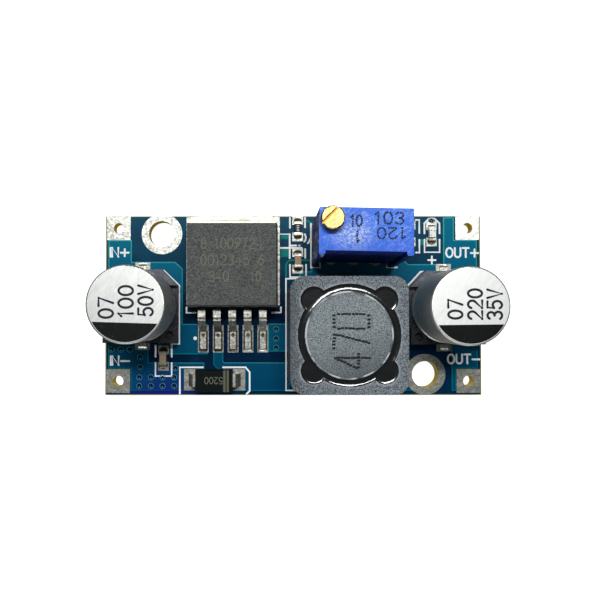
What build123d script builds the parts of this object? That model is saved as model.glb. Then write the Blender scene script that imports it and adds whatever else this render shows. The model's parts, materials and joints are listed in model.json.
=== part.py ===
"""Step-down converter module: a printed circuit board with its parts soldered on.

Millimetres, +Z up. The origin is under the middle of the board, at the level of
the adjuster's pin tips, which are the lowest point of the module.
"""
import os
from math import cos, pi, radians, sin, sqrt

from build123d import *

# Board
BOARD_THICKNESS = 1.6
PIN_BELOW = 0.8
SCORE_WIDTH = 0.08
SCORE_DEPTH = 0.35
LAND_THICKNESS = 0.05
PLATING = 0.05
FIT = 0.02

# Wire terminals in the four corners
TERMINAL_HOLE_R = 0.6
TERMINAL_LAND = 2.7
TERMINAL_SIDE_INSET = 1.5
TERMINAL_TOP_INSET = 1.45
TERMINAL_BOTTOM_INSET = 1.65

# Mounting holes
MOUNT_HOLE_R = 1.5
MOUNT_RING_R = 2.33
MOUNT_TOP_INSET = 2.1
MOUNT_BOTTOM_INSET = 2.4
MOUNT_TO_TERMINAL = 4.95
MOUNT_TO_PART = 3.1

# Through vias
VIA_HOLE_R = 0.19
VIA_RING_R = 0.32
VIA_PITCH_X = 1.33
VIA_PITCH_Y = 0.98
VIA_ROW_PITCH = 1.05
VIA_SIDE_PITCH = 1.155
VIA_BOARD_EDGE = 1.05
VIA_BLOCK_SHIFT = 0.76
VIA_LEFT_SHIFT = 1.9
VIA_RIGHT_SHIFT = 2.13
VIA_FROM_SIDE = 0.735
VIA_FROM_BASE = 0.79
VIA_FROM_LEAD = 1.53
VIA_ABOVE_LEAD_END = 0.105

# Electrolytic capacitors
CAP_BASE = 8.3
CAP_RADIUS = 4.0
CAP_HEIGHT = 10.3
CAP_FLOOR = 1.0
CAP_POST_HEIGHT = 2.0
CAP_POST_SPAN = 2.3
CAP_CHAMFER = 1.8
CAP_BEAD_DEPTH = 0.3
CAP_BEAD_HEIGHT = 2.6
CAP_BEAD_FLAT = 0.1
CAP_BEAD_SLOPE = 0.35
CAP_SHOULDER_R = 0.2
CAP_RECESS_R = 0.48
CAP_RECESS_INSET = 0.85
CAP_RECESS_DEPTH = 0.6
CAP_TERMINAL_WIDTH = 0.9
CAP_TERMINAL_THICKNESS = 0.2
CAP_TERMINAL_REACH = 0.45
CAP_TERMINAL_START = 1.5
CAP_EDGE_GAP = 0.12
INPUT_BAY_GAP = 1.13
OUTPUT_BAY_GAP = 1.49
MOUNT_TO_INPUT_CAP = 4.15
MOUNT_TO_OUTPUT_CAP = 3.47

# Regulator package
REG_WIDTH = 10.15
REG_MOLD_LENGTH = 9.33
REG_HEIGHT = 4.4
REG_DRAFT = 5
REG_PARTING = 1.9
REG_TAB_THICKNESS = 1.27
REG_TAB_INSET = 0.275
REG_TAB_WIDTH = REG_WIDTH - 2 * REG_TAB_INSET
REG_TAB_REACH = 0.92
REG_TAB_COVERED = 6.7
REG_TAB_CORNER = 0.5
REG_EDGE = 0.3
LEAD_PITCH = 1.7
LEAD_COUNT = 5
LEAD_WIDTH = 0.83
LEAD_THICKNESS = 0.4
LEAD_EXIT_HEIGHT = 2.4
LEAD_REACH = 4.71
LEAD_FLAT = 1.3
LEAD_FOOT = 2.1
LEAD_BEND_R = 0.35
LEAD_SUNK = 1.2

# Shielded inductor
INDUCTOR_HEIGHT = 7.75
INDUCTOR_CORNER_R = 1.5
INDUCTOR_POCKET_R = 1.4
DRUM_R = 4.6
DRUM_GAP = 0.75
SHIELD_WALL = 0.775
POCKET_INSIDE = 0.16
INDUCTOR_BORE_R = DRUM_R + DRUM_GAP
INDUCTOR_SIDE = 2 * (INDUCTOR_BORE_R + SHIELD_WALL)
INDUCTOR_POCKET_AT = (INDUCTOR_BORE_R - POCKET_INSIDE) / sqrt(2)
INDUCTOR_CLIP_FOOT = 2.4
DRUM_POST_R = 2.3
DRUM_FLANGE = 1.4
DRUM_STEP = 0.1
DRUM_EDGE = 0.12
WINDING_GAP = 0.1
GLUE_DEPTH = 1.1
GLUE_SINK = 0.25
INDUCTOR_LIFT = 0.3
INDUCTOR_TERMINAL_WIDTH = 5.0
INDUCTOR_TERMINAL_NARROWER = 0.5
INDUCTOR_TERMINAL_REACH = 0.3
INDUCTOR_TERMINAL_RISE = 2.4
INDUCTOR_EDGE = 0.92
REG_TO_INDUCTOR = 1.14
TRIMMER_TO_INDUCTOR = 1.55

# Diode
DIODE_LENGTH = 4.25
DIODE_WIDTH = 2.6
DIODE_HEIGHT = 2.2
DIODE_DRAFT = 7
DIODE_LEAD_WIDTH = 1.45
DIODE_LEAD_THICKNESS = 0.2
DIODE_LEAD_REACH = 0.4
DIODE_LEAD_FOOT = 1.2
DIODE_LEAD_HELD = 0.5
DIODE_LIFT = 0.1
DIODE_TO_EDGE = 1.8
LEADS_TO_DIODE = 3.54
DIODE_FROM_REG = 2.1

# Chip parts
CHIP_LENGTH = 1.6
CHIP_WIDTH = 0.8
CHIP_CAP = 0.3
CHIP_SKIN = 0.02
CHIP_RESISTOR_HEIGHT = 0.45
CHIP_CAPACITOR_HEIGHT = 0.8
CHIP_EDGE_R = 0.06
LED_BASE_HEIGHT = 0.3
LED_LENS_HEIGHT = 0.4
LED_LENS_DRAFT = 6
REG_TO_CHIPS = 2.34
CHIPS_TO_TRIMMER = 1.6
TRIMMER_TO_CHIP = 1.78
CHIP_TO_LED = 2.45
LED_TO_TERMINAL = 4.05
CHIP_TOP_INSET = 1.5
CHIP_STEP = 3.7
LED_TOP_INSET = 2.1
INPUT_CAP_TO_CHIP = 1.78
INPUT_CAP_TO_CHIP_X = 2.4
CHIP_TO_VIAS = 2.2

# Adjuster: a trimming potentiometer driven by a worm
TRIMMER_WIDTH = 9.53
TRIMMER_DEPTH = 4.8
TRIMMER_HEIGHT = 10.03
TRIMMER_LEAN = 2.35
TRIMMER_TWIST = -1.2
TRIMMER_EDGE = 1.0
TRIMMER_FOOT = 0.4
TRIMMER_RIDGE = 0.4
TRIMMER_RIDGE_WIDTH = 0.67
TRIMMER_CORNER_R = 0.15
TRIMMER_WALL = 0.45
TRIMMER_ROOF = 1.1
SEAL_DEPTH = 0.9
ELEMENT_THICKNESS = 0.65
ELEMENT_POCKET = 1.3
PIN_R = 0.255
PIN_PITCH = 2.54
PIN_COUNT = 3
PIN_HOLE_R = 0.5
PIN_RISE = 2.2
WHEEL_TEETH = 30
WHEEL_PITCH_R = 3.2
WHEEL_THICKNESS = 0.7
WHEEL_HUB_R = 1.3
WHEEL_HUB_REACH = 0.6
WHEEL_AXLE_R = 0.5
WHEEL_RUNNING_GAP = 0.05
TOOTH_BACKLASH = 0.13
TOOTH_FOOT = 0.36
TOOTH_TIP = 0.15
THREAD_FOOT = 1.9
THREAD_CREST = 0.6
WORM_PITCH_R = 0.62
WORM_TURNS = 4
SCREW_FROM_SIDE = 1.27
SCREW_FROM_BACK = 1.27
SCREW_HEAD_R = 1.18
SCREW_HEAD_HEIGHT = 1.2
SCREW_EDGE = 0.1
SCREW_LIFT = 0.06
SCREW_NECK_R = 0.86
SCREW_RUNNING_GAP = 0.05
SCREW_SLOT_WIDTH = 0.3
SCREW_SLOT_DEPTH = 0.5
SCREW_SLOT_ANGLE = 46
SCREW_SLOT_OFFSET = 0.36
RING_WIRE_R = 0.12
WIPER_THICKNESS = 0.1
WIPER_REACH = 2.6

# Lands: how far each reaches past the piece that is soldered on it
CAP_LAND_TOE = 0.85
CAP_LAND_HEEL = 0.5
CAP_LAND_SIDES = 0.8
REG_LAND_TOP = 0.15
REG_LAND_BOTTOM = 0.25
REG_LAND_SIDES = 1.1
LEAD_LAND_TOE = 0.43
LEAD_LAND_HEEL = 0.6
LEAD_LAND_SIDES = 0.38
INDUCTOR_LAND_LENGTH = 2.4
INDUCTOR_LAND_INSET = 0.6
INDUCTOR_LAND_SIDES = 0.7
DIODE_LAND_LENGTH = 1.5
DIODE_LAND_TOE = 0.62
DIODE_LAND_SIDES = 1.0
CHIP_LAND_LENGTH = 1.0
CHIP_LAND_TOE = 0.15
CHIP_LAND_SIDES = 0.42

# Solder
SOLDER_REACH = 0.35
SOLDER_HOLLOW = 0.38
SOLDER_CHIP_RISE = 0.7
SOLDER_CONE_R = 0.95
SOLDER_CONE_HEIGHT = 0.55
SOLDER_CONE_INSET = 0.05
SOLDER_COLLAR = 0.1

# Heights
under = PIN_BELOW
deck = under + BOARD_THICKNESS
seat = deck + LAND_THICKNESS

# The board is as long and as wide as its rows of parts need
input_bay = max(
    CAP_EDGE_GAP + CAP_BASE + INPUT_BAY_GAP,
    TERMINAL_SIDE_INSET + MOUNT_TO_TERMINAL + MOUNT_TO_PART,
)
output_bay = max(
    CAP_EDGE_GAP + CAP_BASE + OUTPUT_BAY_GAP,
    TERMINAL_SIDE_INSET + MOUNT_TO_TERMINAL + MOUNT_TO_PART,
)
power_row = input_bay + REG_WIDTH + REG_TO_INDUCTOR + INDUCTOR_SIDE + output_bay
adjuster_row = (
    input_bay + REG_WIDTH + REG_TO_CHIPS + CHIPS_TO_TRIMMER + TRIMMER_WIDTH
    + TRIMMER_TO_CHIP + CHIP_TO_LED + LED_TO_TERMINAL + TERMINAL_SIDE_INSET
)
BOARD_LENGTH = max(power_row, adjuster_row)

regulator_column = (
    REG_EDGE + REG_TAB_REACH + REG_MOLD_LENGTH + LEAD_REACH + LEADS_TO_DIODE + DIODE_TO_EDGE
)
inductor_column = (
    TRIMMER_EDGE + TRIMMER_DEPTH + TRIMMER_TO_INDUCTOR + INDUCTOR_SIDE + INDUCTOR_EDGE
)
capacitor_column = (
    MOUNT_TOP_INSET + MOUNT_TO_INPUT_CAP + CAP_BASE + INPUT_CAP_TO_CHIP
    + CHIP_TO_VIAS + VIA_PITCH_Y + VIA_BOARD_EDGE
)
BOARD_WIDTH = max(regulator_column, inductor_column, capacitor_column)

left = -BOARD_LENGTH / 2
right = BOARD_LENGTH / 2
top = BOARD_WIDTH / 2
bottom = -BOARD_WIDTH / 2

# Places on the board
terminals = [
    (left + TERMINAL_SIDE_INSET, top - TERMINAL_TOP_INSET),
    (left + TERMINAL_SIDE_INSET, bottom + TERMINAL_BOTTOM_INSET),
    (right - TERMINAL_SIDE_INSET, top - TERMINAL_TOP_INSET),
    (right - TERMINAL_SIDE_INSET, bottom + TERMINAL_BOTTOM_INSET),
]
mount_inset = TERMINAL_SIDE_INSET + MOUNT_TO_TERMINAL
mounting_holes = [
    (left + mount_inset, top - MOUNT_TOP_INSET),
    (right - mount_inset, bottom + MOUNT_BOTTOM_INSET),
]
input_cap = (
    left + CAP_EDGE_GAP + CAP_BASE / 2,
    top - MOUNT_TOP_INSET - MOUNT_TO_INPUT_CAP - CAP_BASE / 2,
)
output_cap = (
    right - CAP_EDGE_GAP - CAP_BASE / 2,
    bottom + MOUNT_BOTTOM_INSET + MOUNT_TO_OUTPUT_CAP + CAP_BASE / 2,
)
reg_x = left + input_bay + REG_WIDTH / 2
mold_top = top - REG_EDGE - REG_TAB_REACH
mold_bottom = mold_top - REG_MOLD_LENGTH
lead_end = mold_bottom - LEAD_REACH
lead_xs = [reg_x + (i - (LEAD_COUNT - 1) / 2) * LEAD_PITCH for i in range(LEAD_COUNT)]
inductor = (
    reg_x + REG_WIDTH / 2 + REG_TO_INDUCTOR + INDUCTOR_SIDE / 2,
    bottom + INDUCTOR_EDGE + INDUCTOR_SIDE / 2,
)
diode = (reg_x - DIODE_FROM_REG, lead_end - LEADS_TO_DIODE)
chips_x = reg_x + REG_WIDTH / 2 + REG_TO_CHIPS
trimmer = (
    chips_x + CHIPS_TO_TRIMMER + TRIMMER_WIDTH / 2,
    bottom + INDUCTOR_EDGE + INDUCTOR_SIDE + TRIMMER_TO_INDUCTOR + TRIMMER_DEPTH / 2,
)
feedback_resistor = (chips_x, top - CHIP_TOP_INSET)
feedback_capacitor = (chips_x, top - CHIP_TOP_INSET - CHIP_STEP)
input_chip = (
    input_cap[0] + INPUT_CAP_TO_CHIP_X,
    input_cap[1] - CAP_BASE / 2 - INPUT_CAP_TO_CHIP,
)
led_resistor = (trimmer[0] + TRIMMER_WIDTH / 2 + TRIMMER_TO_CHIP, top - LED_TOP_INSET)
led = (led_resistor[0] + CHIP_TO_LED, top - LED_TOP_INSET)

# Vias beside the input chip, by the input terminal, under the leads and at the lamp
via_rows_y = input_chip[1] - CHIP_TO_VIAS
via_block = (input_chip[0] - VIA_BLOCK_SHIFT, via_rows_y - VIA_PITCH_Y / 2)
vias = [
    (via_block[0] + (i - 1.5) * VIA_PITCH_X, via_block[1] + (j - 0.5) * VIA_PITCH_Y)
    for i in range(4) for j in range(2)
]
vias += [(via_block[0] - VIA_LEFT_SHIFT, via_rows_y + k * VIA_SIDE_PITCH) for k in (1, 2)]
vias += [(via_block[0] + VIA_RIGHT_SHIFT, via_rows_y + VIA_ROW_PITCH)]
vias += [
    (left + VIA_FROM_SIDE + k * VIA_ROW_PITCH, input_cap[1] - CAP_BASE / 2 - VIA_FROM_BASE)
    for k in range(3)
]
vias += [
    (lead_xs[-1] + VIA_FROM_LEAD, lead_end + VIA_ABOVE_LEAD_END + k * VIA_ROW_PITCH)
    for k in range(3)
]
vias += [(led[0], led[1] + CHIP_LENGTH)]

# The adjuster leans back and is turned a little on the board
lean = radians(TRIMMER_LEAN)
twist = radians(TRIMMER_TWIST)
trimmer_back = (-sin(twist), cos(twist))
trimmer_plane = Plane(
    origin=(trimmer[0], trimmer[1], deck + TRIMMER_DEPTH / 2 * sin(lean)),
    x_dir=(cos(twist), sin(twist), 0),
    z_dir=(sin(lean) * trimmer_back[0], sin(lean) * trimmer_back[1], cos(lean)),
)
trimmer_front = Plane(
    origin=trimmer_plane.origin, x_dir=trimmer_plane.x_dir, z_dir=-trimmer_plane.y_dir
)


def level(height):
    """Plane across the adjuster at a height above its feet."""
    return trimmer_plane.offset(height)


def section(depth):
    """Plane along the adjuster's width, at a distance behind its middle."""
    return trimmer_front.offset(-depth)


def save(piece, name):
    """Label a finished piece and write it."""
    piece.part.label = name
    export_step(piece.part, f"parts/{name}.step")


# Stations through the adjuster's depth, from its front face to its back face
front_face = -TRIMMER_DEPTH / 2 + TRIMMER_RIDGE
back_face = TRIMMER_DEPTH / 2
pocket_front = front_face + TRIMMER_WALL
pocket_back = pocket_front + ELEMENT_POCKET
screw_u = -TRIMMER_WIDTH / 2 + SCREW_FROM_SIDE
screw_v = back_face - SCREW_FROM_BACK
chamber_back = back_face - TRIMMER_WALL
wheel_module = 2 * WHEEL_PITCH_R / WHEEL_TEETH
wheel_outer_r = WHEEL_PITCH_R + wheel_module
wheel_root_r = WHEEL_PITCH_R - 1.2 * wheel_module
worm_outer_r = WORM_PITCH_R + wheel_module
worm_root_r = WORM_PITCH_R - 1.2 * wheel_module
worm_lead = pi * wheel_module
wheel_u = screw_u + WORM_PITCH_R + WHEEL_PITCH_R
chamber_r = wheel_outer_r + 2 * WHEEL_RUNNING_GAP
seal_top = TRIMMER_FOOT + SEAL_DEPTH
wheel_w = seal_top + chamber_r
roof = TRIMMER_HEIGHT - TRIMMER_ROOF
pocket_width = TRIMMER_WIDTH - 2 * TRIMMER_WALL
worm_start = wheel_w - WORM_TURNS * worm_lead / 2
worm_end = wheel_w + WORM_TURNS * worm_lead / 2
pivot_floor = seal_top
bore_floor = worm_start - worm_lead / 2
element_front = pocket_back - ELEMENT_THICKNESS
pin_v = (pocket_front + element_front) / 2
pin_us = [(i - (PIN_COUNT - 1) / 2) * PIN_PITCH for i in range(PIN_COUNT)]
pin_tip = -(trimmer_plane.origin.Z + PIN_R) / cos(lean)
board_middle = -(trimmer_plane.origin.Z - deck + BOARD_THICKNESS / 2) / cos(lean)
pin_holes = [
    (point.X, point.Y)
    for point in (trimmer_plane.from_local_coords((u, pin_v, board_middle)) for u in pin_us)
]

os.makedirs("parts", exist_ok=True)

# Circuit board, snapped from its panel along scored grooves on the two long edges
with BuildPart() as circuit_board:
    with BuildSketch(Plane.YZ.offset(left)):
        with BuildLine():
            score = Polyline(
                (0, deck),
                (top - SCORE_WIDTH, deck),
                (top, deck - SCORE_DEPTH),
                (top, under + SCORE_DEPTH),
                (top - SCORE_WIDTH, under),
                (0, under),
            )
            mirror(score, about=Plane.YZ)
        make_face()
    extrude(amount=BOARD_LENGTH)
    with BuildSketch(Plane.XY.offset(under)):
        with Locations(*terminals):
            Circle(TERMINAL_HOLE_R + PLATING + FIT)
        with Locations(*mounting_holes):
            Circle(MOUNT_HOLE_R + PLATING + FIT)
        with Locations(*vias):
            Circle(VIA_HOLE_R + PLATING + FIT)
        with Locations(*pin_holes):
            Circle(PIN_HOLE_R + PLATING + FIT)
    extrude(amount=BOARD_THICKNESS, mode=Mode.SUBTRACT)
save(circuit_board, "circuit_board")


def plated_holes(name, places, hole_r, land_sketch):
    """Lands on both faces of the board, joined by the plating of the hole."""
    with BuildPart() as holes:
        for face in (under - LAND_THICKNESS, deck):
            with BuildSketch(Plane.XY.offset(face)):
                land_sketch()
            extrude(amount=LAND_THICKNESS)
        with BuildSketch(Plane.XY.offset(under)):
            with Locations(*places):
                Circle(hole_r + PLATING)
        extrude(amount=BOARD_THICKNESS)
        with BuildSketch(Plane.XY.offset(under - LAND_THICKNESS)):
            with Locations(*places):
                Circle(hole_r)
        extrude(amount=BOARD_THICKNESS + 2 * LAND_THICKNESS, mode=Mode.SUBTRACT)
    save(holes, name)


def square_lands():
    with Locations(*terminals):
        Rectangle(TERMINAL_LAND, TERMINAL_LAND)


def ring_lands():
    with Locations(*mounting_holes):
        Circle(MOUNT_RING_R)
    Rectangle(
        BOARD_LENGTH - 2 * SCORE_WIDTH, BOARD_WIDTH - 2 * SCORE_WIDTH, mode=Mode.INTERSECT
    )


def via_lands():
    with Locations(*vias):
        Circle(VIA_RING_R)


def pin_lands():
    with Locations(*pin_holes):
        Circle(SOLDER_CONE_R)


plated_holes("board_terminals", terminals, TERMINAL_HOLE_R, square_lands)
plated_holes("mounting_rings", mounting_holes, MOUNT_HOLE_R, ring_lands)
plated_holes("via_barrels", vias, VIA_HOLE_R, via_lands)
plated_holes("adjuster_pads", pin_holes, PIN_HOLE_R, pin_lands)

# Copper lands under the soldered parts: middle x, middle y, size along x, size along y
lands = []
cap_toe = CAP_BASE / 2 + CAP_LAND_TOE
cap_heel = CAP_TERMINAL_START + CAP_LAND_HEEL
cap_across = CAP_TERMINAL_WIDTH + CAP_LAND_SIDES
for cap_x, cap_y in (input_cap, output_cap):
    for way in (-1, 1):
        land_y = cap_y + way * (cap_heel + cap_toe) / 2
        lands.append((cap_x, land_y, cap_across, cap_toe - cap_heel))
reg_land_top = mold_top + REG_TAB_REACH + REG_LAND_TOP
reg_land_bottom = mold_bottom + REG_LAND_BOTTOM
reg_land_y = (reg_land_top + reg_land_bottom) / 2
lands.append((reg_x, reg_land_y, REG_TAB_WIDTH + REG_LAND_SIDES, reg_land_top - reg_land_bottom))
lead_toe = lead_end - LEAD_LAND_TOE
lead_heel = lead_end + LEAD_FOOT + LEAD_LAND_HEEL
for x in lead_xs:
    lands.append((x, (lead_toe + lead_heel) / 2, LEAD_WIDTH + LEAD_LAND_SIDES, lead_heel - lead_toe))
clip_across = INDUCTOR_TERMINAL_WIDTH + INDUCTOR_LAND_SIDES
for way in (-1, 1):
    land_y = inductor[1] + way * (INDUCTOR_SIDE / 2 - INDUCTOR_LAND_INSET)
    lands.append((inductor[0], land_y, clip_across, INDUCTOR_LAND_LENGTH))
    land_x = diode[0] + way * (DIODE_LENGTH / 2 + DIODE_LAND_TOE)
    lands.append((land_x, diode[1], DIODE_LAND_LENGTH, DIODE_LEAD_WIDTH + DIODE_LAND_SIDES))
chip_places = [feedback_resistor, feedback_capacitor, input_chip, led_resistor, led]
for chip_x, chip_y in chip_places:
    for way in (-1, 1):
        land_y = chip_y + way * (CHIP_LENGTH / 2 + CHIP_LAND_TOE)
        lands.append((chip_x, land_y, CHIP_WIDTH + CHIP_LAND_SIDES, CHIP_LAND_LENGTH))
with BuildPart() as component_lands:
    with BuildSketch(Plane.XY.offset(deck)):
        for x, y, along_x, along_y in lands:
            with Locations((x, y)):
                Rectangle(along_x, along_y)
    extrude(amount=LAND_THICKNESS)
save(component_lands, "component_lands")

# Electrolytic capacitors: rolled can, moulded base with two cut corners, two flat terminals
for side, (cap_x, cap_y) in {"input": input_cap, "output": output_cap}.items():
    cap_front = Plane(origin=(cap_x, cap_y, seat), x_dir=(1, 0, 0), z_dir=(0, -1, 0))
    with BuildPart() as terminals_pair:
        for way in (-1, 1):
            reach = CAP_BASE / 2 + CAP_TERMINAL_REACH
            with BuildSketch(Plane.XY.offset(seat)):
                with Locations((cap_x, cap_y + way * (CAP_TERMINAL_START + reach) / 2)):
                    Rectangle(CAP_TERMINAL_WIDTH, reach - CAP_TERMINAL_START)
            extrude(amount=CAP_TERMINAL_THICKNESS)
    with BuildPart() as base:
        with BuildSketch(Plane.XY.offset(seat)):
            with Locations((cap_x, cap_y)):
                Rectangle(CAP_BASE, CAP_BASE)
        extrude(amount=CAP_POST_HEIGHT)
        cut_edges = base.edges().filter_by(Axis.Z).group_by(Axis.Y)[-1]
        chamfer(cut_edges, CAP_CHAMFER)
        with BuildSketch(Plane.XY.offset(seat + CAP_FLOOR)):
            with Locations((cap_x, cap_y)):
                Circle(CAP_RADIUS + FIT)
                Rectangle(CAP_BASE, 2 * CAP_POST_SPAN)
                Rectangle(2 * CAP_POST_SPAN, CAP_BASE)
        extrude(amount=CAP_POST_HEIGHT, mode=Mode.SUBTRACT)
        recess = CAP_BASE / 2 - CAP_RECESS_INSET
        with BuildSketch(Plane.XY.offset(seat + CAP_POST_HEIGHT)):
            with Locations((cap_x - recess, cap_y - recess), (cap_x + recess, cap_y - recess)):
                Circle(CAP_RECESS_R)
        extrude(amount=-CAP_RECESS_DEPTH, mode=Mode.SUBTRACT)
        add(terminals_pair.part, mode=Mode.SUBTRACT)
    with BuildPart() as can:
        bead_half = CAP_BEAD_FLAT + CAP_BEAD_SLOPE
        with BuildSketch(cap_front) as can_profile:
            with BuildLine():
                Polyline(
                    (0, CAP_FLOOR),
                    (CAP_RADIUS - CAP_BEAD_DEPTH, CAP_FLOOR),
                    (CAP_RADIUS, CAP_FLOOR + CAP_BEAD_DEPTH),
                    (CAP_RADIUS, CAP_BEAD_HEIGHT - bead_half),
                    (CAP_RADIUS - CAP_BEAD_DEPTH, CAP_BEAD_HEIGHT - CAP_BEAD_FLAT),
                    (CAP_RADIUS - CAP_BEAD_DEPTH, CAP_BEAD_HEIGHT + CAP_BEAD_FLAT),
                    (CAP_RADIUS, CAP_BEAD_HEIGHT + bead_half),
                    (CAP_RADIUS, CAP_HEIGHT),
                    (0, CAP_HEIGHT),
                    close=True,
                )
            make_face()
            shoulder = can_profile.vertices().group_by(Axis.Y)[-1].sort_by(Axis.X)[-1]
            fillet(shoulder, CAP_SHOULDER_R)
        revolve(axis=Axis((cap_x, cap_y, 0), (0, 0, 1)))
    save(base, f"{side}_capacitor_base")
    save(can, f"{side}_capacitor_can")
    save(terminals_pair, f"{side}_capacitor_terminals")

# Regulator: copper tab, moulded body with draft from its parting line, five formed leads
lead_top_start = mold_bottom + LEAD_SUNK
lead_axis_z = seat + LEAD_THICKNESS / 2
with BuildPart() as regulator_leads:
    for x in lead_xs:
        with BuildSketch(Plane.YZ.offset(x - LEAD_WIDTH / 2)):
            with BuildLine() as lead_line:
                FilletPolyline(
                    (lead_top_start, seat + LEAD_EXIT_HEIGHT),
                    (mold_bottom - LEAD_FLAT, seat + LEAD_EXIT_HEIGHT),
                    (lead_end + LEAD_FOOT, lead_axis_z),
                    (lead_end, lead_axis_z),
                    radius=LEAD_BEND_R,
                )
            trace(line_width=LEAD_THICKNESS)
        extrude(amount=LEAD_WIDTH)
with BuildPart() as regulator_tab:
    with BuildSketch(Plane.XY.offset(seat)):
        tab_length = REG_TAB_REACH + REG_TAB_COVERED
        with Locations((reg_x, mold_top + REG_TAB_REACH - tab_length / 2)):
            Rectangle(REG_TAB_WIDTH, tab_length)
    extrude(amount=REG_TAB_THICKNESS)
    fillet(regulator_tab.edges().filter_by(Axis.Z).group_by(Axis.Y)[-1], REG_TAB_CORNER)
with BuildPart() as regulator_mold:
    with BuildSketch(Plane.XY.offset(seat + REG_PARTING)):
        with Locations((reg_x, (mold_top + mold_bottom) / 2)):
            Rectangle(REG_WIDTH, REG_MOLD_LENGTH)
    extrude(amount=REG_HEIGHT - REG_PARTING, taper=REG_DRAFT)
    with BuildSketch(Plane.XY.offset(seat + REG_PARTING)):
        with Locations((reg_x, (mold_top + mold_bottom) / 2)):
            Rectangle(REG_WIDTH, REG_MOLD_LENGTH)
    extrude(amount=-REG_PARTING, taper=REG_DRAFT)
    add(regulator_tab.part, mode=Mode.SUBTRACT)
    add(regulator_leads.part, mode=Mode.SUBTRACT)
save(regulator_tab, "regulator_tab")
save(regulator_mold, "regulator_mold")
save(regulator_leads, "regulator_leads")

# Shielded inductor: square ferrite shield, wound drum in its bore, glue ring, two clips
inductor_seat = seat + INDUCTOR_LIFT
inductor_top = seat + INDUCTOR_HEIGHT
inductor_axis = Axis((inductor[0], inductor[1], 0), (0, 0, 1))
inductor_front = Plane(origin=(inductor[0], inductor[1], 0), x_dir=(1, 0, 0), z_dir=(0, -1, 0))


def pocket_places():
    """Middles of the four glue pockets in the shield's bore."""
    return [
        (inductor[0] + i * INDUCTOR_POCKET_AT, inductor[1] + j * INDUCTOR_POCKET_AT)
        for i in (-1, 1) for j in (-1, 1)
    ]


with BuildPart() as inductor_shield:
    with BuildSketch(Plane.XY.offset(inductor_seat)):
        with Locations(inductor):
            RectangleRounded(INDUCTOR_SIDE, INDUCTOR_SIDE, INDUCTOR_CORNER_R)
            Circle(INDUCTOR_BORE_R, mode=Mode.SUBTRACT)
    extrude(amount=inductor_top - inductor_seat)
    with BuildSketch(Plane.XY.offset(inductor_top - GLUE_DEPTH)):
        with Locations(*pocket_places()):
            Circle(INDUCTOR_POCKET_R)
    extrude(amount=GLUE_DEPTH, mode=Mode.SUBTRACT)
with BuildPart() as inductor_glue:
    with BuildSketch(Plane.XY.offset(inductor_top - GLUE_DEPTH + FIT)):
        with Locations(inductor):
            Circle(INDUCTOR_BORE_R - FIT)
        with Locations(*pocket_places()):
            Circle(INDUCTOR_POCKET_R - FIT)
        with Locations(inductor):
            Circle(DRUM_R + FIT, mode=Mode.SUBTRACT)
    extrude(amount=GLUE_DEPTH - GLUE_SINK)
drum_top = inductor_top - DRUM_STEP
with BuildPart() as inductor_drum:
    with BuildSketch(inductor_front):
        with BuildLine():
            Polyline(
                (0, inductor_seat),
                (DRUM_R, inductor_seat),
                (DRUM_R, inductor_seat + DRUM_FLANGE),
                (DRUM_POST_R, inductor_seat + DRUM_FLANGE),
                (DRUM_POST_R, drum_top - DRUM_FLANGE),
                (DRUM_R, drum_top - DRUM_FLANGE),
                (DRUM_R, drum_top - DRUM_EDGE),
                (DRUM_R - DRUM_EDGE, drum_top),
                (0, drum_top),
                close=True,
            )
        make_face()
    revolve(axis=inductor_axis)
with BuildPart() as inductor_winding:
    with BuildSketch(inductor_front):
        winding_low = inductor_seat + DRUM_FLANGE
        winding_high = drum_top - DRUM_FLANGE
        winding_in = DRUM_POST_R + FIT
        winding_out = DRUM_R - WINDING_GAP
        with Locations(((winding_in + winding_out) / 2, (winding_low + winding_high) / 2)):
            Rectangle(winding_out - winding_in, winding_high - winding_low)
    revolve(axis=inductor_axis)
clip_length = INDUCTOR_SIDE / 2 + INDUCTOR_TERMINAL_REACH
with BuildPart() as inductor_terminals:
    for way in (-1, 1):
        with BuildSketch(Plane.XY.offset(seat)):
            foot_y = inductor[1] + way * (clip_length - INDUCTOR_CLIP_FOOT / 2)
            with Locations((inductor[0], foot_y)):
                Rectangle(INDUCTOR_TERMINAL_WIDTH, INDUCTOR_CLIP_FOOT)
        extrude(amount=INDUCTOR_LIFT)
        with BuildSketch(Plane.XY.offset(seat)):
            rise_y = inductor[1] + way * (INDUCTOR_SIDE + INDUCTOR_TERMINAL_REACH) / 2
            with Locations((inductor[0], rise_y)):
                rise_width = INDUCTOR_TERMINAL_WIDTH - INDUCTOR_TERMINAL_NARROWER
                Rectangle(rise_width, INDUCTOR_TERMINAL_REACH)
        extrude(amount=INDUCTOR_TERMINAL_RISE)
save(inductor_shield, "inductor_shield")
save(inductor_glue, "inductor_glue")
save(inductor_drum, "inductor_drum")
save(inductor_winding, "inductor_winding")
save(inductor_terminals, "inductor_terminals")

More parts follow.
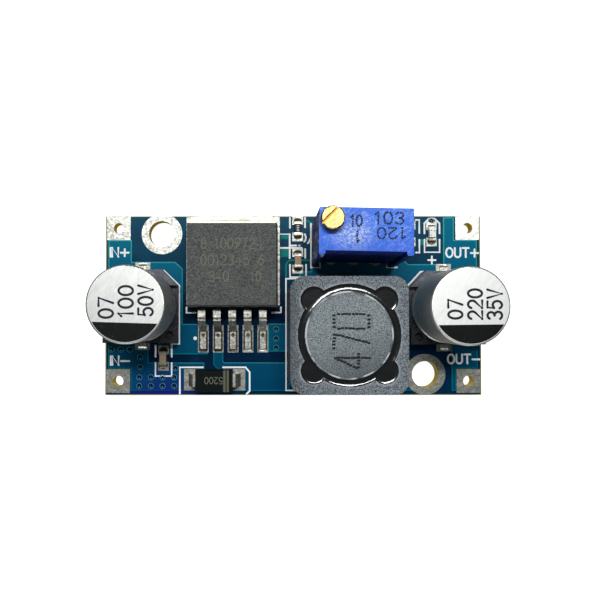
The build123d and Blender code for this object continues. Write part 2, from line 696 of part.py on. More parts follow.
# Diode: moulded body with draft both ways and two leads folded under it
diode_parting = seat + DIODE_LIFT + (DIODE_HEIGHT - DIODE_LIFT) / 2
with BuildPart() as diode_terminals:
    for way in (-1, 1):
        end = diode[0] + way * (DIODE_LENGTH / 2 + DIODE_LEAD_REACH)
        foot_z = seat + DIODE_LEAD_THICKNESS / 2
        with BuildSketch(Plane.XZ.offset(-diode[1] - DIODE_LEAD_WIDTH / 2)):
            with BuildLine():
                FilletPolyline(
                    (diode[0] + way * (DIODE_LENGTH / 2 - DIODE_LEAD_HELD), diode_parting),
                    (end, diode_parting),
                    (end, foot_z),
                    (end - way * DIODE_LEAD_FOOT, foot_z),
                    radius=DIODE_LEAD_THICKNESS,
                )
            trace(line_width=DIODE_LEAD_THICKNESS)
        extrude(amount=DIODE_LEAD_WIDTH)
with BuildPart() as diode_body:
    for way in (-1, 1):
        with BuildSketch(Plane.XY.offset(diode_parting)):
            with Locations(diode):
                Rectangle(DIODE_LENGTH, DIODE_WIDTH)
        extrude(amount=way * (DIODE_HEIGHT - DIODE_LIFT) / 2, taper=DIODE_DRAFT)
    add(diode_terminals.part, mode=Mode.SUBTRACT)
save(diode_body, "diode_body")
save(diode_terminals, "diode_terminals")


def chip_solids(name, place, height):
    """A chip part: a block whose two ends are wrapped in metal caps."""
    with BuildPart() as body:
        with BuildSketch(Plane.XY.offset(seat + CHIP_SKIN)):
            with Locations(place):
                Rectangle(CHIP_WIDTH - 2 * CHIP_SKIN, CHIP_LENGTH - 2 * CHIP_SKIN)
        extrude(amount=height - 2 * CHIP_SKIN)
        fillet(body.edges().filter_by(Axis.Y), CHIP_EDGE_R)
    with BuildPart() as caps:
        with BuildSketch(Plane.XY.offset(seat)):
            for way in (-1, 1):
                with Locations((place[0], place[1] + way * (CHIP_LENGTH - CHIP_CAP) / 2)):
                    Rectangle(CHIP_WIDTH, CHIP_CAP)
        extrude(amount=height)
        add(body.part, mode=Mode.SUBTRACT)
    save(body, f"{name}_body")
    save(caps, f"{name}_caps")


chip_solids("feedback_resistor", feedback_resistor, CHIP_RESISTOR_HEIGHT)
chip_solids("feedback_capacitor", feedback_capacitor, CHIP_CAPACITOR_HEIGHT)
chip_solids("input_chip_capacitor", input_chip, CHIP_CAPACITOR_HEIGHT)
chip_solids("lamp_resistor", led_resistor, CHIP_RESISTOR_HEIGHT)
chip_solids("lamp_base", led, LED_BASE_HEIGHT)
with BuildPart() as lamp_lens:
    with BuildSketch(Plane.XY.offset(seat + LED_BASE_HEIGHT - CHIP_SKIN)):
        with Locations(led):
            Rectangle(CHIP_WIDTH, CHIP_LENGTH - 2 * CHIP_CAP)
    extrude(amount=LED_LENS_HEIGHT, taper=LED_LENS_DRAFT)
save(lamp_lens, "lamp_lens")

# Adjuster housing: a moulded box with front ridges and corner feet, hollow for the drive
with BuildPart() as adjuster_housing:
    block_depth = TRIMMER_DEPTH - TRIMMER_RIDGE
    block_v = TRIMMER_RIDGE / 2
    with BuildSketch(level(TRIMMER_FOOT)):
        with Locations((0, block_v)):
            RectangleRounded(TRIMMER_WIDTH, block_depth, TRIMMER_CORNER_R)
    extrude(amount=TRIMMER_HEIGHT - TRIMMER_FOOT)
    ridge_u = (TRIMMER_WIDTH - TRIMMER_RIDGE_WIDTH) / 2
    with BuildSketch(level(0)):
        for side in (-1, 1):
            with Locations((side * ridge_u, -back_face + TRIMMER_RIDGE)):
                RectangleRounded(TRIMMER_RIDGE_WIDTH, 2 * TRIMMER_RIDGE, TRIMMER_CORNER_R)
    extrude(amount=TRIMMER_HEIGHT)
    with BuildSketch(level(0)):
        foot = 2 * TRIMMER_RIDGE_WIDTH
        for side in (-1, 1):
            for v in (front_face + TRIMMER_WALL / 2, back_face - TRIMMER_WALL / 2):
                with Locations((side * (TRIMMER_WIDTH - foot) / 2, v)):
                    Rectangle(foot, TRIMMER_WALL)
    extrude(amount=TRIMMER_FOOT)
    with BuildSketch(level(TRIMMER_FOOT)):
        with Locations((0, (pocket_front + pocket_back) / 2)):
            Rectangle(pocket_width, pocket_back - pocket_front)
    extrude(amount=roof - TRIMMER_FOOT, mode=Mode.SUBTRACT)
    with BuildSketch(section(pocket_back)):
        with Locations((wheel_u, wheel_w)):
            Circle(chamber_r)
            Circle(WHEEL_AXLE_R, mode=Mode.SUBTRACT)
    extrude(amount=-(chamber_back - pocket_back), mode=Mode.SUBTRACT)
    with BuildSketch(section(screw_v - WHEEL_THICKNESS / 2 - WHEEL_HUB_REACH + WHEEL_RUNNING_GAP)):
        with Locations((wheel_u, wheel_w)):
            Circle(WHEEL_AXLE_R)
    extrude(
        amount=screw_v - WHEEL_THICKNESS / 2 - WHEEL_HUB_REACH + WHEEL_RUNNING_GAP - pocket_back,
        mode=Mode.SUBTRACT,
    )
    with BuildSketch(level(pivot_floor)):
        with Locations((screw_u, screw_v)):
            Circle(worm_root_r + SCREW_RUNNING_GAP)
    extrude(amount=bore_floor - pivot_floor, mode=Mode.SUBTRACT)
    with BuildSketch(level(bore_floor)):
        with Locations((screw_u, screw_v)):
            Circle(SCREW_NECK_R + SCREW_RUNNING_GAP)
    extrude(amount=TRIMMER_HEIGHT - bore_floor, mode=Mode.SUBTRACT)
    ring_seat_r = SCREW_NECK_R + FIT + 2 * RING_WIRE_R + FIT
    ring_seat_depth = 2 * RING_WIRE_R + FIT
    with BuildSketch(level(TRIMMER_HEIGHT - ring_seat_depth)):
        with Locations((screw_u, screw_v)):
            Circle(ring_seat_r)
    extrude(amount=ring_seat_depth, mode=Mode.SUBTRACT)
save(adjuster_housing, "adjuster_housing")

# Adjuster screw: slotted head, neck, worm and lower pivot, turned from one rod
screw_axis_plane = Plane(
    origin=trimmer_plane.from_local_coords((screw_u, screw_v, 0)),
    x_dir=trimmer_plane.x_dir,
    z_dir=trimmer_plane.z_dir,
)
screw_front = Plane(
    origin=screw_axis_plane.origin, x_dir=trimmer_plane.x_dir, z_dir=-trimmer_plane.y_dir
)
screw_axis = Axis(screw_axis_plane.origin, screw_axis_plane.z_dir)
head_low = TRIMMER_HEIGHT + SCREW_LIFT
head_high = head_low + SCREW_HEAD_HEIGHT
thread_root = worm_root_r - FIT
thread_height = worm_outer_r - thread_root
crest = worm_lead / 4 - TOOTH_BACKLASH / 2
with BuildPart() as worm_thread:
    with BuildLine(screw_axis_plane.offset(worm_start - worm_lead / 2)) as worm_line:
        Helix(worm_lead, worm_end - worm_start + worm_lead, thread_root)
    thread_plane = Plane(
        origin=worm_line.line @ 0, x_dir=screw_axis_plane.x_dir, z_dir=worm_line.line % 0
    )
    with BuildSketch(thread_plane):
        with BuildLine():
            Polyline(
                (0, -crest * THREAD_FOOT),
                (thread_height, -crest * THREAD_CREST),
                (thread_height, crest * THREAD_CREST),
                (0, crest * THREAD_FOOT),
                close=True,
            )
        make_face()
    sweep(path=worm_line.line, is_frenet=True)
    with BuildSketch(level(worm_start)):
        with Locations((screw_u, screw_v)):
            Circle(worm_outer_r)
    extrude(amount=worm_end - worm_start, mode=Mode.INTERSECT)
with BuildPart() as adjuster_screw:
    with BuildSketch(screw_front):
        with BuildLine():
            Polyline(
                (0, pivot_floor + SCREW_RUNNING_GAP),
                (worm_root_r, pivot_floor + SCREW_RUNNING_GAP),
                (worm_root_r, worm_end + worm_lead),
                (SCREW_NECK_R, worm_end + worm_lead + SCREW_NECK_R - worm_root_r),
                (SCREW_NECK_R, head_low),
                (SCREW_HEAD_R, head_low),
                (SCREW_HEAD_R, head_high - SCREW_EDGE),
                (SCREW_HEAD_R - SCREW_EDGE, head_high),
                (0, head_high),
                close=True,
            )
        make_face()
    revolve(axis=screw_axis)
    add(worm_thread.part)
    with BuildSketch(level(head_high - SCREW_SLOT_DEPTH)):
        with Locations(Location((screw_u, screw_v, 0), (0, 0, SCREW_SLOT_ANGLE))):
            with Locations((0, SCREW_SLOT_OFFSET)):
                Rectangle(2.5 * SCREW_HEAD_R, SCREW_SLOT_WIDTH)
    extrude(amount=SCREW_SLOT_DEPTH, mode=Mode.SUBTRACT)
save(adjuster_screw, "adjuster_screw")

# Adjuster seal ring round the screw's neck
ring_middle = (SCREW_NECK_R + FIT + RING_WIRE_R, TRIMMER_HEIGHT - ring_seat_depth + RING_WIRE_R)
with BuildPart() as adjuster_ring:
    with BuildSketch(screw_front):
        with Locations(ring_middle):
            Circle(RING_WIRE_R)
    revolve(axis=screw_axis)
save(adjuster_ring, "adjuster_ring")

# Adjuster wheel: spur teeth in mesh with the worm, a hub each side, bored for its axle
wheel_front = screw_v - WHEEL_THICKNESS / 2
hub_front = wheel_front - WHEEL_HUB_REACH
hub_back = chamber_back - WHEEL_RUNNING_GAP
wheel_centre = (wheel_u, wheel_w)
with BuildPart() as adjuster_wheel:
    with BuildSketch(section(wheel_front)):
        with Locations(wheel_centre):
            Circle(wheel_root_r)
            half_root = worm_lead * TOOTH_FOOT - TOOTH_BACKLASH / 4
            half_tip = worm_lead * TOOTH_TIP - TOOTH_BACKLASH / 4
            with PolarLocations(0, WHEEL_TEETH):
                Polygon(
                    (wheel_root_r - FIT, -half_root),
                    (wheel_outer_r, -half_tip),
                    (wheel_outer_r, half_tip),
                    (wheel_root_r - FIT, half_root),
                    align=None,
                )
    extrude(amount=-WHEEL_THICKNESS)
    with BuildSketch(section(hub_front)):
        with Locations(wheel_centre):
            Circle(WHEEL_HUB_R)
    extrude(amount=-(hub_back - hub_front))
    with BuildSketch(section(hub_front)):
        with Locations(wheel_centre):
            Circle(WHEEL_AXLE_R + WHEEL_RUNNING_GAP)
    extrude(amount=-(hub_back - hub_front), mode=Mode.SUBTRACT)
save(adjuster_wheel, "adjuster_wheel")

# Adjuster wiper: a spring leaf on the wheel's hub, bent down to the resistive element
wiper_line_v = hub_front - WIPER_THICKNESS / 2
element_touch = pocket_back + FIT + WIPER_THICKNESS / 2
with BuildPart() as adjuster_wiper:
    with BuildSketch(section(hub_front)):
        with Locations(wheel_centre):
            Circle(WHEEL_HUB_R)
    extrude(amount=WIPER_THICKNESS)
    wiper_plane = level(wheel_w - WHEEL_HUB_R / 3)
    with BuildSketch(wiper_plane):
        with BuildLine():
            Polyline(
                (wheel_u + WHEEL_HUB_R / 2, wiper_line_v),
                (wheel_u + WHEEL_HUB_R * 1.3, wiper_line_v),
                (wheel_u + WIPER_REACH, element_touch),
            )
        trace(line_width=WIPER_THICKNESS)
    extrude(amount=2 * WHEEL_HUB_R / 3)
save(adjuster_wiper, "adjuster_wiper")

# Adjuster element: a ceramic plate against the step round the wheel's chamber
with BuildPart() as adjuster_element:
    with BuildSketch(level(seal_top)):
        with Locations((0, (element_front + pocket_back) / 2)):
            Rectangle(pocket_width - 2 * FIT, ELEMENT_THICKNESS)
    extrude(amount=roof - seal_top - FIT)
save(adjuster_element, "adjuster_element")

# Adjuster pins: three wires from the element down through the board, nipped off level
with BuildPart() as adjuster_pins:
    with BuildSketch(level(pin_tip)):
        for u in pin_us:
            with Locations((u, pin_v)):
                Circle(PIN_R)
    extrude(amount=seal_top + PIN_RISE - pin_tip)
    split(bisect_by=Plane.XY, keep=Keep.TOP)
save(adjuster_pins, "adjuster_pins")

# Adjuster seal: resin that closes the housing's open bottom round the pins
with BuildPart() as adjuster_seal:
    with BuildSketch(level(TRIMMER_FOOT)):
        with Locations((0, (pocket_front + pocket_back) / 2)):
            Rectangle(pocket_width, pocket_back - pocket_front)
        for u in pin_us:
            with Locations((u, pin_v)):
                Circle(PIN_R + FIT, mode=Mode.SUBTRACT)
    extrude(amount=SEAL_DEPTH)
save(adjuster_seal, "adjuster_seal")

# Solder cones round the pins, under the board
with BuildPart() as adjuster_solder:
    cone_base = under - LAND_THICKNESS
    for x, y in pin_holes:
        with BuildSketch(Plane(origin=(x, y, 0), x_dir=(1, 0, 0), z_dir=(0, -1, 0))):
            with BuildLine():
                foot_line = Line((0, cone_base), (SOLDER_CONE_R - SOLDER_CONE_INSET, cone_base))
                side_line = ThreePointArc(
                    foot_line @ 1,
                    (SOLDER_CONE_R / 2, cone_base - SOLDER_CONE_HEIGHT / 2),
                    (PIN_R + SOLDER_COLLAR, cone_base - SOLDER_CONE_HEIGHT),
                )
                Line(side_line @ 1, (0, cone_base - SOLDER_CONE_HEIGHT))
                Line((0, cone_base - SOLDER_CONE_HEIGHT), foot_line @ 0)
            make_face()
        revolve(axis=Axis((x, y, 0), (0, 0, 1)))
    with BuildSketch(level(pin_tip)):
        for u in pin_us:
            with Locations((u, pin_v)):
                Circle(PIN_R + FIT)
    extrude(amount=seal_top - pin_tip, mode=Mode.SUBTRACT)
save(adjuster_solder, "adjuster_solder")

# Solder fillets along the outer edge of each soldered end:
# middle of the edge, direction outwards, length of the edge, height
fillets = []
for cap_x, cap_y in (input_cap, output_cap):
    for way in (-1, 1):
        edge_y = cap_y + way * (CAP_BASE / 2 + CAP_TERMINAL_REACH)
        fillets.append((cap_x, edge_y, (0, way, 0), CAP_TERMINAL_WIDTH, CAP_TERMINAL_THICKNESS))
for x in lead_xs:
    fillets.append((x, lead_end, (0, -1, 0), LEAD_WIDTH, LEAD_THICKNESS))
diode_reach = DIODE_LENGTH / 2 + DIODE_LEAD_REACH + DIODE_LEAD_THICKNESS / 2
for way in (-1, 1):
    edge_y = inductor[1] + way * clip_length
    fillets.append((inductor[0], edge_y, (0, way, 0), INDUCTOR_TERMINAL_WIDTH, INDUCTOR_LIFT))
    edge_x = diode[0] + way * diode_reach
    fillets.append((edge_x, diode[1], (way, 0, 0), DIODE_LEAD_WIDTH, DIODE_HEIGHT / 3))
chip_heights = [
    CHIP_RESISTOR_HEIGHT, CHIP_CAPACITOR_HEIGHT, CHIP_CAPACITOR_HEIGHT,
    CHIP_RESISTOR_HEIGHT, LED_BASE_HEIGHT,
]
for (chip_x, chip_y), height in zip(chip_places, chip_heights):
    for way in (-1, 1):
        edge_y = chip_y + way * CHIP_LENGTH / 2
        fillets.append((chip_x, edge_y, (0, way, 0), CHIP_WIDTH, height * SOLDER_CHIP_RISE))
with BuildPart() as solder_fillets:
    for x, y, outwards, length, height in fillets:
        across = Vector(*outwards).cross(Vector(0, 0, 1))
        corner = Vector(x, y, seat) - across * (length / 2)
        with BuildSketch(Plane(origin=corner, x_dir=outwards, z_dir=across)):
            with BuildLine():
                middle = (SOLDER_REACH * SOLDER_HOLLOW, height * SOLDER_HOLLOW)
                Line((0, 0), (0, height))
                ThreePointArc((0, height), middle, (SOLDER_REACH, 0))
                Line((SOLDER_REACH, 0), (0, 0))
            make_face()
        extrude(amount=length)
save(solder_fillets, "solder_fillets")
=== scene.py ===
"""Looks of a buck converter module: finishes, printing, copper under the mask and small soldered details."""

import json
import math

import bmesh
import bpy
from mathutils import Matrix, Vector


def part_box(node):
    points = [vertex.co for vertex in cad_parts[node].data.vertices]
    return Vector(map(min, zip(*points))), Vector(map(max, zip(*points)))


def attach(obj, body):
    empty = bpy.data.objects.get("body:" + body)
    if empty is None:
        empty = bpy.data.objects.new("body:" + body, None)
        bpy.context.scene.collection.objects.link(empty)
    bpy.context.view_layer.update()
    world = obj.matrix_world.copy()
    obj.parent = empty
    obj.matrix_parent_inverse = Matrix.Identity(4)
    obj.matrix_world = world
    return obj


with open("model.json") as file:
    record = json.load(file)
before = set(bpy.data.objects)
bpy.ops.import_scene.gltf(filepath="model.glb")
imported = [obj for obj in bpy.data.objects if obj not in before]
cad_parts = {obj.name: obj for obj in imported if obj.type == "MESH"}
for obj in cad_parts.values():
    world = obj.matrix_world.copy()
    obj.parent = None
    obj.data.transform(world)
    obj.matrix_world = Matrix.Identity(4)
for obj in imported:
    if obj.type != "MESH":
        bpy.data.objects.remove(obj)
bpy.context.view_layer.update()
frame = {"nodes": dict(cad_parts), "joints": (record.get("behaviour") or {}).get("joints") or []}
nodes = frame["nodes"]
MM = 0.001


def size_of(node):
    """Lowest and highest corner of a frame node, in millimetres."""
    low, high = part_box(node)
    return low / MM, high / MM


board_low, board_high = size_of("circuit_board")
DECK = board_high.z
HALF_LENGTH = board_high.x
HALF_WIDTH = board_high.y

# Camera, where the photograph was taken from
CAMERA_AT = (-3.72, -1.52, 81.4)
CAMERA_TURN = (1.54, 0.07, -0.03)
CAMERA_LENS = 41.36
CAMERA_SHIFT = 0.067
lens = bpy.data.cameras.new("camera")
lens.lens = CAMERA_LENS
lens.sensor_width = 36
lens.shift_x = CAMERA_SHIFT
lens.clip_start = 0.005
lens.clip_end = 20
camera = bpy.data.objects.new("camera", lens)
camera.location = Vector(CAMERA_AT) * MM
camera.rotation_euler = [math.radians(a) for a in CAMERA_TURN]
bpy.context.scene.collection.objects.link(camera)
bpy.context.scene.camera = camera
bpy.context.scene.view_settings.view_transform = "Standard"


# How much of a matt white face's light reaches the camera in this light
DAYLIGHT = 0.88


def metal(red, green, blue):
    """A colour from 0 to 255 as the shader's linear colour."""
    def linear(level):
        share = level / 255
        return share / 12.92 if share <= 0.04045 else ((share + 0.055) / 1.055) ** 2.4
    return (linear(red), linear(green), linear(blue), 1.0)


def paint(red, green, blue):
    """A matt colour as it looks in this light, from 0 to 255, as the shader's linear colour."""
    return tuple(min(level / DAYLIGHT, 0.95) for level in metal(red, green, blue)[:3]) + (1.0,)


class Wire:
    """A value in a node tree. The usual operators on it add Math nodes."""

    def __init__(self, tree, socket):
        self.tree = tree
        self.socket = socket

    def maths(self, operation, *values):
        return self.tree.add("ShaderNodeMath", {"operation": operation}, dict(enumerate(values)))

    def __add__(self, other):
        return self.maths("ADD", self, other)

    __radd__ = __add__

    def __sub__(self, other):
        return self.maths("SUBTRACT", self, other)

    def __rsub__(self, other):
        return self.maths("SUBTRACT", other, self)

    def __mul__(self, other):
        return self.maths("MULTIPLY", self, other)

    __rmul__ = __mul__

    def __truediv__(self, other):
        return self.maths("DIVIDE", self, other)

    def __rtruediv__(self, other):
        return self.maths("DIVIDE", other, self)

    def __pow__(self, other):
        return self.maths("POWER", self, other)

    def __abs__(self):
        return self.maths("ABSOLUTE", self)

    def __gt__(self, other):
        return self.maths("GREATER_THAN", self, other)

    def __lt__(self, other):
        return self.maths("LESS_THAN", self, other)

    def larger(self, other):
        return self.maths("MAXIMUM", self, other)

    def sine(self):
        return self.maths("SINE", self)

    def fraction(self):
        return self.maths("FRACT", self)

    def part(self, low, high):
        """0 below low, 1 above high and straight between."""
        return self.tree.add(
            "ShaderNodeMapRange", {"clamp": True}, {0: self, 1: low, 2: high, 3: 0.0, 4: 1.0}
        )


class Tree:
    """A node tree with one way to add a node."""

    def __init__(self, nodes_and_links):
        self.nodes = nodes_and_links.nodes
        self.links = nodes_and_links.links

    def add(self, kind, settings=None, sockets=None, output=0):
        """Add a node, give it its settings, then the values or links of its sockets."""
        node = self.nodes.new(kind)
        for name, value in (settings or {}).items():
            if name == "stops":
                for stop, (at, colour) in zip(node.color_ramp.elements, value):
                    stop.position = at
                    stop.color = colour
            else:
                setattr(node, name, value)
        for name, value in (sockets or {}).items():
            if isinstance(value, Wire):
                self.links.new(value.socket, node.inputs[name])
            else:
                node.inputs[name].default_value = value
        return Wire(self, node.outputs[output]) if len(node.outputs) else node


# Share of the usual gloss that a plain finish has
SHEEN = 0.12


class Finish(Tree):
    """A material whose patterns are worked out in millimetres on the object's own coordinates."""

    def __init__(self, name, **constants):
        self.material = bpy.data.materials.new(name)
        self.material.use_nodes = True
        super().__init__(self.material.node_tree)
        self.shader = self.nodes["Principled BSDF"]
        for socket, value in {"specular_ior_level": SHEEN, **constants}.items():
            self.shader.inputs[self.socket(socket)].default_value = value
        place = self.add("ShaderNodeTexCoord", output="Object")
        self.place = self.add(
            "ShaderNodeVectorMath", {"operation": "SCALE"}, {0: place, "Scale": 1 / MM}
        )
        self.x, self.y, self.z = (
            self.add("ShaderNodeSeparateXYZ", None, {0: self.place}, axis) for axis in "XYZ"
        )

    @staticmethod
    def socket(word):
        """The shader's own name of a socket."""
        return word.replace("_", " ").title().replace("Ior", "IOR")

    def noise(self, size, detail=2.0, stretch=(1, 1, 1), turn=0.0, rough=0.5):
        """Noise from 0 to 1 with lumps of a size in millimetres."""
        place = self.place
        if stretch != (1, 1, 1) or turn:
            place = self.add(
                "ShaderNodeMapping", {"vector_type": "TEXTURE"},
                {"Vector": self.place, "Rotation": (0, 0, turn), "Scale": stretch},
            )
        return self.add(
            "ShaderNodeTexNoise", None,
            {"Vector": place, "Scale": 1 / size, "Detail": detail, "Roughness": rough},
        )

    def cells(self, size):
        """Distance from the nearest of scattered points, 0 at the point, in cells of a size."""
        return self.add("ShaderNodeTexVoronoi", None, {"Vector": self.place, "Scale": 1 / size})

    def blend(self, factor, first, second):
        """One colour over another."""
        return self.add(
            "ShaderNodeMix", {"data_type": "RGBA"}, {0: factor, 6: first, 7: second}, 2
        )

    def use(self, **wires):
        for socket, wire in wires.items():
            self.links.new(wire.socket, self.shader.inputs[self.socket(socket)])
        return self

    def relief(self, height, depth):
        """Bump of a depth in millimetres."""
        bump = self.add("ShaderNodeBump", None, {"Distance": depth * MM, "Height": height})
        return self.use(normal=bump)


# Finishes
def mask_finish(name, back, middle, front, edge_strip=False):
    """Blue solder mask over glass cloth: its tone at the back, the middle and the front edge, painted lighter
    towards the back as a sheen of the light.
    """
    f = Finish(name, roughness=0.28, specular_ior_level=0.05)
    cloth = (f.x * (2 * math.pi / 0.55)).sine() * (f.y * (2 * math.pi / 0.62)).sine()
    clouds = f.noise(2.6, 3)
    # Painted sheen: lighter towards the back, where the light is reflected, with a painted change of tone towards
    # the front
    tone = f.blend(f.y.part(0, 9.5), middle, back)
    tone = f.blend(f.y.part(-4, -9), tone, front)
    corner = ((f.x + 14.5) ** 2 * 0.35 + (f.y + 10.5) ** 2) ** 0.5
    tone = f.blend(corner.part(4.2, 0.5) * 0.8, tone, paint(22, 22, 112))
    tone = f.blend((clouds - 0.5) * 0.45 + cloth * 0.02, tone, paint(0, 120, 150))
    if edge_strip:
        rim = (abs(f.x) - (HALF_LENGTH - 0.13)).larger(abs(f.y) - (HALF_WIDTH - 0.13))
        tone = f.blend(rim > 0, tone, paint(136, 138, 96))
    f.use(base_color=tone)
    return f.relief(f.noise(0.5, 2) * 0.6 + cloth * 0.1, 0.012)


board_mask = mask_finish(
    "board_mask_bare", paint(10, 66, 90), paint(0, 24, 50), paint(0, 34, 62), True
)
copper_mask = mask_finish(
    "board_mask_over_copper", paint(0, 106, 134), paint(0, 72, 102), paint(0, 62, 94)
)
# Painted highlight on the stepped rims of the copper areas
step_highlight_mask = mask_finish(
    "board_mask_step_highlight", paint(60, 168, 168), paint(6, 116, 126), paint(0, 96, 114)
)
trace_mask = mask_finish("board_mask_trace", paint(24, 124, 118), paint(0, 104, 98), paint(0, 98, 104))

silk = Finish("legend_white", roughness=0.5)
silk.use(base_color=silk.blend(silk.noise(0.25, 2), (0.99, 0.99, 0.99, 1), (0.86, 0.9, 0.92, 1)))
silk.relief(silk.noise(0.12, 2), 0.004)


lead_low, lead_high = size_of("regulator_leads")
reg_low, reg_high = size_of("regulator_mold")
LEAD_PITCH = 1.7
LEAD_WIDTH = 0.83
FOOT_TOP = lead_low.y + 2.05


def off_lead(f):
    """Distance across from the middle line of the nearest regulator lead."""
    turn = (f.x - (lead_low.x + LEAD_WIDTH / 2)) / LEAD_PITCH + 0.5
    return abs(turn.fraction() - 0.5) * LEAD_PITCH


def foot_shade(f):
    """Darker along the sides of each lead's foot, a dark spot at its heel, and a painted shadow of the mold on each
    lead just below it.
    """
    across = off_lead(f)
    spot = (across ** 2 + (f.y - (FOOT_TOP - 0.5)) ** 2) ** 0.5
    foot = f.y < FOOT_TOP
    # Painted shadow of the mold across the top of each lead
    mold_shadow = f.y.part(reg_low.y - 0.42, reg_low.y - 0.3)
    return (across.part(0.27, 0.36) * foot).larger(spot.part(0.3, 0.16)).larger(mold_shadow) * 0.9


CHIPS = (
    "feedback_resistor", "feedback_capacitor", "lamp_resistor", "lamp_base", "input_chip_capacitor"
)


def chip_shade(f):
    """Painted shade: dark domes on the solder just off both ends of each chip part."""
    shade = None
    for chip in CHIPS:
        low, high = size_of(chip + "_caps")
        middle = (low + high) / 2
        beyond = abs(f.y - middle.y) - (high.y - low.y) / 2
        off = ((f.x - middle.x) / 0.54) ** 2 + (beyond / 0.48) ** 2
        dome = off.part(1.0, 0.8) * (beyond > -0.13)
        if chip == "lamp_base":
            dome = dome * (f.y < middle.y)
        shade = dome if shade is None else shade.larger(dome)
    return shade * 0.85


def land_shade(f):
    """Painted shade on the solder close round each lead's foot, with a light rim outside."""
    beside = off_lead(f).part(0.56, 0.5) * (f.y > (lead_low.y - 0.26)) * (f.y < FOOT_TOP)
    beside = beside * (f.x < lead_high.x + 0.3) * (f.x > lead_low.x - 0.3) * 0.85
    return beside.larger(chip_shade(f))


def tin_finish(
    name, clean, dull, rough, lumps, depth=0.03, barrel=False, shade=None, shade_colour=metal(34, 30, 20), front=0.45
):
    """Tin or solder, mottled where it cooled, with painted shade towards the front and where a shade is given, a
    painted highlight towards the back right of hole barrels, and a golden wall inside a hole where told.
    """
    f = Finish(name, metallic=1.0)
    mottle = f.noise(lumps, 4, rough=0.65)
    specks = f.noise(lumps * 0.45, 2, rough=0.8)
    tone = f.blend(mottle.part(0.36, 0.7), clean, dull)
    tone = f.blend((specks > 0.63) * 0.45, tone, metal(96, 96, 86))
    # Painted shade: darker towards the front, where the tin shows less of the light's reflection
    tone = f.blend(f.y.part(4, -8) * front, tone, metal(92, 94, 82))
    if shade:
        # Painted shade from the given shade, in the shade colour
        tone = f.blend(shade(f), tone, shade_colour)
    if barrel:
        # Painted highlight: lighter towards the back right, where the light is reflected
        tone = f.blend(f.x.part(0, 16) * (f.y > 0) * 0.6, tone, metal(238, 239, 234))
        wall = f.z < (DECK + 0.01)
        tone = f.blend(wall, tone, paint(255, 216, 110))
        f.use(metallic=1 - wall)
    f.use(base_color=tone, roughness=mottle * 0.3 + rough)
    return f.relief(f.noise(lumps * 0.7, 3) + f.noise(lumps * 3, 1) * 2, depth)


tinned_copper = tin_finish(
    "tinned_copper", metal(172, 172, 164), metal(96, 96, 84), 0.25, 0.28, 0.012, shade=land_shade, front=0.0
)
barrel_tin = tin_finish(
    "tinned_copper_holes", metal(196, 197, 192), metal(124, 124, 114), 0.3, 0.3, 0.02, True, front=0.5
)
solder = tin_finish("solder", metal(236, 236, 232), metal(140, 140, 130), 0.26, 0.5, 0.03, shade=chip_shade, shade_colour=metal(88, 86, 70))
lead_metal = tin_finish(
    "lead_metal", metal(212, 212, 206), metal(62, 60, 50), 0.26, 0.24, 0.014, shade=foot_shade
)
end_tin = tin_finish(
    "end_tin", metal(206, 206, 200), metal(120, 118, 106), 0.24, 0.3, 0.014, shade=chip_shade, shade_colour=metal(120, 118, 104),
    front=0.1,
)
tab_metal = Finish("lead_metal_tab", metallic=1.0)
rub = tab_metal.noise(0.2, 3, stretch=(7, 1, 1), rough=0.7)
front_line = abs(tab_metal.y - (size_of("regulator_tab")[1].y - 0.42 + (rub - 0.5) * 0.1)) < 0.045
tab_metal.use(
    base_color=tab_metal.blend(
        front_line * 0.7, tab_metal.blend(rub.part(0.4, 0.75), metal(196, 196, 186), metal(144, 142, 120)),
        metal(120, 116, 70),
    ),
    roughness=rub * 0.3 + 0.3,
)
tab_metal.relief(rub, 0.02)
via_mask = mask_finish("board_mask_vias", paint(20, 76, 96), paint(6, 50, 80), paint(6, 44, 74))

mold = Finish("mold_compound", roughness=0.62)
grain = mold.noise(0.15, 3, stretch=(1.5, 1, 1), turn=0.2, rough=0.75)
glints = mold.noise(0.1, 2, stretch=(2, 1, 1), turn=0.2, rough=0.8)
mold.use(
    base_color=mold.blend(
        glints.part(0.56, 0.72) * 0.6,
        mold.blend(
            grain.part(0.36, 0.66) * 0.8 + mold.noise(3.2, 2) * 0.2,
            paint(41, 44, 43), paint(101, 105, 103),
        ),
        paint(136, 140, 134),
    ),
)
mold.relief(grain + glints, 0.03)

diode_mold = Finish("mold_compound_diode", roughness=0.5, specular_ior_level=0.05)
band = (abs(diode_mold.x + 7.58) < 0.33) * ((diode_mold.x * 16).sine() * 0.35 + 0.55)
diode_mold.use(
    base_color=diode_mold.blend(
        band,
        diode_mold.blend(diode_mold.noise(0.2, 3), paint(2, 8, 8), paint(20, 26, 26)),
        paint(104, 104, 88),
    ),
)
diode_mold.relief(diode_mold.noise(0.1, 3), 0.012)

aluminium = Finish("can_aluminium", metallic=1.0)
brushed = aluminium.noise(0.1, 3, stretch=(9, 1, 1), turn=0.9)
across = aluminium.noise(0.13, 2, stretch=(1, 7, 1), turn=-0.15)
# Painted shade: the aluminium is darker towards the left, which dims the input can's top against the output can's
aluminium.use(
    base_color=aluminium.blend(
        aluminium.x.part(12, -12),
        aluminium.blend(brushed * 0.6 + across * 0.4, metal(236, 238, 236), metal(196, 199, 196)),
        aluminium.blend(brushed * 0.6 + across * 0.4, metal(220, 222, 220), metal(164, 167, 164)),
    ),
    roughness=brushed * 0.2 + 0.38,
)
aluminium.relief(brushed * 0.7 + across * 0.3, 0.008)

base_plastic = Finish("base_plastic", roughness=0.42)
scuffed = base_plastic.noise(0.22, 4, rough=0.7)
